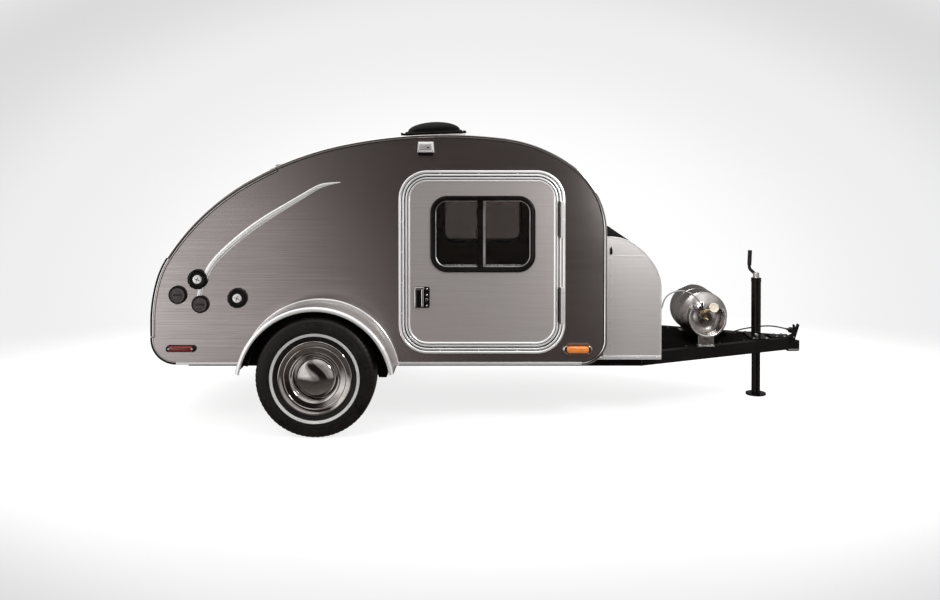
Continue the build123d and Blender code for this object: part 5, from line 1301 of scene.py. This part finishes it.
for dx in (-0.0385, 0.0385):
    for yy, zz in ((-0.314, 0.3918), (0.229, 0.3903)):
        add_turned(bm, [(0.0, 0.0), (0.0085, 0.0), (0.0085, 0.006), (0.0, 0.007)], (1.345 + dx, yy, zz), (0, 0, 1), 6)
bm_object("tank_foot_bolts", bm, "steel", "trailer")
wheel = [(0.0, 0.0), (0.0120, 0.0), (0.0130, 0.0060), (0.0230, 0.0065), (0.0290, 0.0050), (0.0312, 0.0080), (0.0312, 0.0150), (0.0290, 0.0185),
         (0.0230, 0.0180), (0.0140, 0.0150), (0.0080, 0.0160), (0.0, 0.0165)]
revolve("tank_handwheel", wheel, (1.3955, -0.2950, 0.6290), (0.0, -1.0, 0.15), "cream", "trailer", 96, 30.0, closed=False,
        rad=lambda s, j, r: r * (1.0 - (0.07 if r > 0.022 and s % 12 < 5 else 0.0)))
bm = bmesh.new()
add_tube(bm, [(1.3350, -0.2750, 0.5850), (1.3600, -0.2820, 0.6050), (1.3940, -0.2900, 0.6270)], 0.0100, 16)
add_turned(bm, [(0.0, 0.0), (0.0160, 0.0), (0.0160, 0.0240), (0.0120, 0.0260), (0.0120, 0.0340), (0.0, 0.0340)], (1.3240, -0.2700, 0.5800),
           (0, -1, 0), 6)
add_turned(bm, [(0.0, 0.0), (0.0120, 0.0), (0.0120, 0.0160), (0.0100, 0.0180), (0.0, 0.0180)], (1.3220, -0.2960, 0.5960), (0, 0, 1), 6)
add_turned(bm, [(0.0, 0.0), (0.0075, 0.0), (0.0075, 0.0200), (0.0, 0.0200)], (1.3440, -0.3000, 0.5640), (0.7, -0.4, -0.5), 16)
bm_object("tank_valve_body", bm, "brass", "trailer")
bm = bmesh.new()
add_turned(bm, [(0.0, 0.0), (0.0170, 0.0), (0.0190, 0.004), (0.0190, 0.013), (0.0160, 0.017), (0.0, 0.017)], (1.3180, -0.2960, 0.5480), (0, -1, 0), 24)
add_turned(bm, [(0.0, 0.0), (0.0085, 0.0), (0.0100, 0.004), (0.0078, 0.030), (0.0052, 0.052), (0.0, 0.052)], (1.3220, -0.2960, 0.6120), (0, 0, 1), 20)
bm_object("tank_valve_cap", bm, "plastic", "trailer")
bm = bmesh.new()
add_turned(bm, [(0.0, -0.004), (0.0130, -0.004), (0.0130, 0.004), (0.0085, 0.008), (0.0066, 0.026), (0.0050, 0.034), (0.0, 0.034)], (1.0040, -0.3050, 0.6060),
           (1, 0, 0), 24)
bm_object("hose_grommet", bm, "rubber", "trailer")

# ---------------------------------------------------------------- tongue, jack and coupler
JX = 1.7505
bm = bmesh.new()
add_turned(bm, [(0.0172, 0.7786), (0.0215, 0.7790), (0.0225, 0.7820), (0.0205, 0.7860), (0.0200, 0.8080), (0.0180, 0.8125), (0.0, 0.8135)], (JX, 0, 0),
           (0, 0, 1), 40)
bm_object("jack_gear_cap", bm, "steel", "trailer")
bm = bmesh.new()
for z in (0.7565, 0.7775):
    add_turned(bm, [(0.0320, z - 0.004), (0.0342, z - 0.002), (0.0342, z + 0.0005), (0.0320, z + 0.0010)], (JX, 0, 0), (0, 0, 1), 48)
add_turned(bm, [(0.0310, 0.2955), (0.0335, 0.2958), (0.0335, 0.3080), (0.0310, 0.3090)], (JX, 0, 0), (0, 0, 1), 48)
bm_object("jack_tube_bands", bm, "blackgloss", "trailer")
bm = bmesh.new()
for sx in (-1, 1):
    for yy in (-0.105, 0.105):
        add_turned(bm, [(0.0, 0.0), (0.0095, 0.0), (0.0095, 0.0065), (0.0, 0.0075)], (JX + sx * 0.042, yy, 0.3948), (0, 0, 1), 6)
add_turned(bm, [(0.0, -0.004), (0.0090, -0.004), (0.0090, 0.0100), (0.0060, 0.0120), (0.0060, 0.0260), (0.0085, 0.0280), (0.0085, 0.0340), (0.0, 0.0350)],
           (JX - 0.010, -0.0300, 0.4060), (0, -1, 0), 24)
bm_object("jack_bolts", bm, "steel", "trailer")
bm = bmesh.new()
g0, gd = Vector((JX - 0.0088, 0.1328, 0.848)), Vector((6.0, 4.0, 946.0 - 778.5 - 46.0)).normalized()
for q in range(12):
    add_turned(bm, [(0.0132, -0.0022), (0.0144, -0.0010), (0.0144, 0.0010), (0.0132, 0.0022)], g0 + gd * (0.006 + 0.0079 * q), gd, 28)
bm_object("jack_grip_ribs", bm, "plastic", "trailer")
# coupler fittings
bm = bmesh.new()
for sg in (-1, 1):
    add_box(bm, (1.9900, sg * 0.0424, 0.3060), (0.0760, 0.0030, 0.0120), bevel=0.0010)
    add_turned(bm, [(0.0, 0.0), (0.0070, 0.0), (0.0070, 0.0040), (0.0, 0.0046)], (2.0120, sg * 0.0330, 0.3290), (0.35, sg * 1.0, 0), 6)
    add_turned(bm, [(0.0, 0.0), (0.0085, 0.0), (0.0085, 0.0055), (0.0, 0.0062)], (1.9300, sg * 0.0350, 0.3928), (0, 0, 1), 6)
    add_turned(bm, [(0.0, 0.0), (0.0085, 0.0), (0.0085, 0.0055), (0.0, 0.0062)], (1.8800, sg * 0.0350, 0.3928), (0, 0, 1), 6)
add_turned(bm, [(0.0, -0.012), (0.0055, -0.012), (0.0055, 0.012), (0.0, 0.012)], (2.0010, 0.0, 0.3840), (0, 1, 0), 16)
bm_object("coupler_bolts", bm, "steel", "trailer")
# welds where the tongue rails meet the frame, and rail end caps
bm = bmesh.new()
for sg in (-1, 1):
    add_box(bm, (-1.8860, sg * 0.495, 0.3490), (0.0040, 0.0520, 0.0780), bevel=0.001)
    add_box(bm, (0.9000, sg * 0.495, 0.3490), (0.0060, 0.0560, 0.0800), bevel=0.002)
    for x in (0.98, 1.22, 1.46, 1.64):
        y = 0.52 + (x - 0.9) * (0.060 - 0.52) / 1.05 - 0.08
        add_turned(bm, [(0.0, 0.0), (0.0075, 0.0), (0.0075, 0.0045), (0.0, 0.0052)], (x, sg * max(y, 0.06), 0.3828), (0, 0, 1), 6)
bm_object("deck_fixings", bm, "spring", "trailer")
bm = bmesh.new()
add_turned(bm, [(0.0, -0.006), (0.0140, -0.006), (0.0140, 0.004), (0.0095, 0.008), (0.0068, 0.026), (0.0050, 0.040), (0.0, 0.040)], (1.5560, 0.044, 0.4010),
           (1, 0, 0), 24)
bm_object("cable_gland_cone", bm, "rubber", "trailer")
pl_d = (Vector(CABLE[-1]) - Vector(CABLE[-2])).normalized()
bm = bmesh.new()
add_turned(bm, [(0.0, -0.020), (0.0060, -0.020), (0.0085, -0.006), (0.0150, 0.0), (0.0, 0.0)], Vector(CABLE[-1]), pl_d, 24)
for q in range(8):
    w = math.radians(45 * q)
    e1 = pl_d.cross(Vector((0, 0, 1))).normalized()
    e2 = pl_d.cross(e1)
    p = Vector(CABLE[-1]) + (e1 * math.cos(w) + e2 * math.sin(w)) * 0.0182 + pl_d * 0.022
    add_tube(bm, [p - pl_d * 0.014, p + pl_d * 0.014], 0.0016, 8)
plug_sleeve = bm_object("plug_sleeve", bm, "plastic", "trailer")

# axle clamps and brake drums
bm = bmesh.new()
for sg in (-1, 1):
    y = sg * 0.495
    for dy_ in (-0.028, 0.028):
        for dx_ in (-0.030, 0.030):
            add_tube(bm, [(AX_X + dx_, y + dy_, 0.176), (AX_X + dx_, y + dy_, 0.264)], 0.0055, 10)
    add_box(bm, (AX_X, y, 0.1830), (0.0900, 0.0760, 0.0080), bevel=0.002)
    add_box(bm, (AX_X, y, 0.2580), (0.0900, 0.0760, 0.0080), bevel=0.002)
bm_object("axle_clamps", bm, "spring", "trailer")
for side, sg in SIDES:
    bm = bmesh.new()
    add_turned(bm, [(0.0230, -0.058), (0.1200, -0.058), (0.1270, -0.052), (0.1270, -0.006), (0.1200, 0.0), (0.0600, 0.002), (0.0, 0.002)],
               (AX_X, sg * WHEEL_Y, AX_Z), (0, sg, 0), 64)
    bm_object("brake_drum_" + side, bm, "spring", "wheel_" + side)

# ---------------------------------------------------------------- inside
bm = bmesh.new()
kn = bmesh.new()
for za, zb in ((0.475, 0.900), (0.935, 1.330)):
    for yc in (-0.455, 0.0, 0.455):
        add_box(bm, (-1.1640, yc, (za + zb) / 2), (0.0130, 0.430, zb - za), bevel=0.003)
        add_turned(kn, [(0.0, 0.0), (0.006, 0.0), (0.006, 0.010), (0.012, 0.014), (0.012, 0.020), (0.0, 0.023)],
                   (-1.1577, yc + (0.17 if yc <= 0 else -0.17), za + 0.06 if za > 0.9 else zb - 0.06), (1, 0, 0), 20)
bm_object("cabin_cupboard_fronts", bm, "ply", "trailer")
bm_object("cabin_cupboard_knobs", kn, "steel", "trailer")
bm = bmesh.new()
kn = bmesh.new()
for yc in (-0.480, 0.0, 0.480):
    for za, zb in ((0.440, 0.640), (0.655, 0.845)):
        add_box(bm, (-1.8735, yc, (za + zb) / 2), (0.0120, 0.462, zb - za), bevel=0.003)
        add_turned(kn, [(0.0, 0.0), (0.006, 0.0), (0.006, 0.010), (0.012, 0.014), (0.012, 0.020), (0.0, 0.023)],
                   (-1.8793, yc, (za + zb) / 2 + 0.04), (-1, 0, 0), 20)
bm_object("galley_drawer_fronts", bm, "ply", "trailer")
bm_object("galley_drawer_knobs", kn, "steel", "trailer")
bm = bmesh.new()
add_box(bm, (-1.8915, 0.0, 0.8680), (0.0050, 1.440, 0.0270), bevel=0.0015)
bm_object("galley_counter_edge", bm, "satin", "trailer")


# ---------------------------------------------------------------- floor
k = Mat("studio_floor")
g = k.noise((1, 1, 1), 0.8, 4.0)
gf = k.noise((1, 1, 1), 40.0, 3.0)
t = k.math("ADD", k.math("MULTIPLY", g, 0.8), k.math("MULTIPLY", gf, 0.2))
k.l(k.ramp(t, [(0.3, (0.34, 0.34, 0.34)), (0.7, (0.36, 0.36, 0.36))]), k.b.inputs["Base Color"])
k.set(Roughness=0.95, Specular_IOR_Level=0.0)
k.b.inputs["Emission Color"].default_value = (1.0, 1.0, 1.0, 1.0)
k.b.inputs["Emission Strength"].default_value = 0.80
v0 = k.n("VectorMath", operation="MULTIPLY")
k.l(k.tc.outputs["Object"], v0.inputs[0])
v0.inputs[1].default_value = (0.62, 1.0, 1.0)
v = k.n("VectorMath", operation="LENGTH")
k.l(v0.outputs[0], v.inputs[0])
clear_bsdf = k.n("BsdfTransparent")
mx = k.n("MixShader")
fade = k.n("MapRange", interpolation_type="SMOOTHSTEP")
fade.inputs["From Min"].default_value = 1.2
fade.inputs["From Max"].default_value = 3.3
k.l(v.outputs["Value"], fade.inputs["Value"])
k.l(fade.outputs["Result"], mx.inputs[0])
k.l(k.b.outputs[0], mx.inputs[1])
k.l(clear_bsdf.outputs[0], mx.inputs[2])
k.l(mx.outputs[0], k.out.inputs["Surface"])
M["stage"] = k.m
bm = bmesh.new()
bmesh.ops.create_circle(bm, cap_ends=True, radius=70.0, segments=96)
me = bpy.data.meshes.new("floor_disc")
bm.to_mesh(me)
bm.free()
me.materials.append(M["stage"])
disc = bpy.data.objects.new("studio_floor", me)
disc.location.z = -0.0004
scene.collection.objects.link(disc)
disc.visible_glossy = False
disc.visible_diffuse = False


# ---------------------------------------------------------------- light
def area(name, loc, target, sx, sy, power, color=(1.0, 1.0, 1.0), glossy=True):
    la = bpy.data.lights.new(name, "AREA")
    la.shape = "RECTANGLE"
    la.size, la.size_y = sx, sy
    la.energy = power
    la.color = color
    ob = bpy.data.objects.new(name, la)
    ob.location = loc
    ob.rotation_euler = (Vector(target) - Vector(loc)).to_track_quat("-Z", "Y").to_euler()
    ob.visible_camera = False
    ob.visible_glossy = glossy
    scene.collection.objects.link(ob)
    return ob


area("key", (-3.6, -5.2, 5.2), (-0.3, 0.0, 0.8), 3.2, 2.2, 110.0, glossy=False)
area("top", (0.2, 0.3, 6.5), (0.0, 0.0, 1.0), 6.0, 3.0, 150.0, glossy=False)
fill = area("fill", (1.15, -1.95, 1.75), (0.72, -0.61, 1.0), 0.6, 0.6, 22.0)
shaded = bpy.data.collections.new("kept_from_fill")
for ob in scene.objects:
    if ob.type == "MESH" and any(sl.material in (M["roof"], M["hatch"]) for sl in ob.material_slots):
        shaded.objects.link(ob)
for item in shaded.collection_objects:
    item.light_linking.link_state = "EXCLUDE"
fill.light_linking.receiver_collection = shaded
area("back", (0.0, 6.0, 4.0), (0.0, 0.0, 0.8), 6.0, 2.0, 120.0, glossy=False)

world = bpy.data.worlds.new("studio")
scene.world = world
world.use_nodes = True
nt = world.node_tree
for x in list(nt.nodes):
    nt.nodes.remove(x)


def wn(kind, **kw):
    x = nt.nodes.new("ShaderNode" + kind)
    for kk, v in kw.items():
        setattr(x, kk, v)
    return x


def wmath(op, a, b=None, clamp=False):
    x = wn("Math", operation=op, use_clamp=clamp)
    for i, v in enumerate((a, b)):
        if v is None:
            continue
        if isinstance(v, (int, float)):
            x.inputs[i].default_value = v
        else:
            nt.links.new(v, x.inputs[i])
    return x.outputs[0]


def wramp(fac, stops):
    x = wn("ValToRGB")
    e = x.color_ramp.elements
    while len(e) < len(stops):
        e.new(0.5)
    for i, (p, c) in enumerate(stops):
        e[i].position = p
        e[i].color = (*c, 1.0)
    x.color_ramp.interpolation = "EASE"
    nt.links.new(fac, x.inputs["Fac"])
    return x.outputs["Color"]


tc = wn("TexCoord")
sep = wn("SeparateXYZ")
nt.links.new(tc.outputs["Generated"], sep.inputs[0])
dx, dy, dz = sep.outputs

# what the metal reflects: light overhead, a bright side to the rear, dark in front, brown floor below
azim = wmath("ARCTAN2", dx, wmath("MULTIPLY", dy, -1.0))
tilted = wmath("ADD", azim, wmath("MULTIPLY", dz, 0.9))
side_light = wramp(wmath("ADD", wmath("MULTIPLY", tilted, 1.0 / math.pi / 2.0), 0.5),
                   [(0.00, (0.14, 0.135, 0.13)), (0.10, (0.18, 0.17, 0.17)), (0.25, (0.95, 0.94, 0.93)),
                    (0.4167, (1.70, 1.68, 1.67)), (0.4264, (1.60, 1.58, 1.57)), (0.4306, (1.08, 1.05, 1.04)),
                    (0.4361, (0.84, 0.81, 0.80)), (0.4458, (0.76, 0.73, 0.72)), (0.4528, (0.62, 0.59, 0.58)),
                    (0.4575, (0.32, 0.295, 0.29)), (0.4635, (0.070, 0.054, 0.051)), (0.4700, (0.030, 0.020, 0.019)),
                    (0.525, (0.030, 0.020, 0.019)), (0.545, (0.50, 0.48, 0.47)), (0.66, (0.80, 0.78, 0.77)),
                    (0.76, (0.46, 0.45, 0.44)), (0.82, (0.40, 0.39, 0.38)), (0.92, (0.18, 0.17, 0.17)), (1.0, (0.14, 0.135, 0.13))])
over = wramp(wmath("ADD", wmath("MULTIPLY", dz, 0.5), 0.5),
             [(0.0, (0.0, 0.0, 0.0)), (0.70, (0.0, 0.0, 0.0)), (0.86, (0.5, 0.5, 0.5)), (1.0, (0.9, 0.9, 0.9))])
below = wramp(wmath("ADD", wmath("MULTIPLY", dz, 0.5), 0.5),
              [(0.0, (0.30, 0.27, 0.25)), (0.25, (0.16, 0.14, 0.13)), (0.40, (0.075, 0.060, 0.055)), (0.50, (0.05, 0.04, 0.037)),
               (1.0, (0.0, 0.0, 0.0))])
horizon = wn("MapRange")
nt.links.new(dz, horizon.inputs["Value"])
horizon.inputs["From Min"].default_value = -0.31
horizon.inputs["From Max"].default_value = -0.165
sky = wn("Mix", data_type="RGBA")
nt.links.new(horizon.outputs[0], sky.inputs[0])
nt.links.new(below, sky.inputs[6])
nt.links.new(side_light, sky.inputs[7])
glow = wn("Mix", data_type="RGBA", blend_type="ADD")
glow.inputs[0].default_value = 1.0
nt.links.new(sky.outputs[2], glow.inputs[6])
nt.links.new(over, glow.inputs[7])

# what the camera sees behind the object: white paper, a little greyer towards the edges; the greyer edges are painted
# shade of the light falling off
qx = wmath("POWER", wmath("ABSOLUTE", wmath("DIVIDE", dx, 0.429)), 2.0)
qz = wmath("POWER", wmath("ABSOLUTE", wmath("DIVIDE", wmath("ADD", dz, 0.164), 0.280)), 2.0)
paper = wramp(wmath("DIVIDE", wmath("SQRT", wmath("ADD", qx, qz)), 2.0),
              [(0.0, (1.0, 1.0, 1.0)), (0.25, (1.0, 1.0, 1.0)), (0.50, (0.863, 0.863, 0.863)), (0.67, (0.71, 0.71, 0.71)),
               (0.80, (0.88, 0.88, 0.88)), (1.0, (0.90, 0.90, 0.90))])
lp = wn("LightPath")
bg_cam, bg_gloss, bg_diff = wn("Background"), wn("Background"), wn("Background")
nt.links.new(paper, bg_cam.inputs[0])
nt.links.new(glow.outputs[2], bg_gloss.inputs[0])
soft = wramp(wmath("ADD", wmath("MULTIPLY", dz, 0.5), 0.5),
             [(0.0, (0.0, 0.0, 0.0)), (0.42, (0.03, 0.028, 0.027)), (0.54, (0.50, 0.49, 0.48)), (1.0, (1.0, 1.0, 1.0))])
nt.links.new(soft, bg_diff.inputs[0])
bg_diff.inputs[1].default_value = 0.95
bg_thru = wn("Background")
bg_thru.inputs[0].default_value = (0.74, 0.74, 0.74, 1.0)
mix0, mix1, mix2 = wn("MixShader"), wn("MixShader"), wn("MixShader")
nt.links.new(lp.outputs["Is Transmission Ray"], mix0.inputs[0])
nt.links.new(bg_gloss.outputs[0], mix0.inputs[1])
nt.links.new(bg_thru.outputs[0], mix0.inputs[2])
nt.links.new(lp.outputs["Is Diffuse Ray"], mix1.inputs[0])
nt.links.new(mix0.outputs[0], mix1.inputs[1])
nt.links.new(bg_diff.outputs[0], mix1.inputs[2])
nt.links.new(lp.outputs["Is Camera Ray"], mix2.inputs[0])
nt.links.new(mix1.outputs[0], mix2.inputs[1])
nt.links.new(bg_cam.outputs[0], mix2.inputs[2])
wout = wn("OutputWorld")
nt.links.new(mix2.outputs[0], wout.inputs[0])

scene.view_settings.view_transform = "Standard"
scene.view_settings.look = "None"
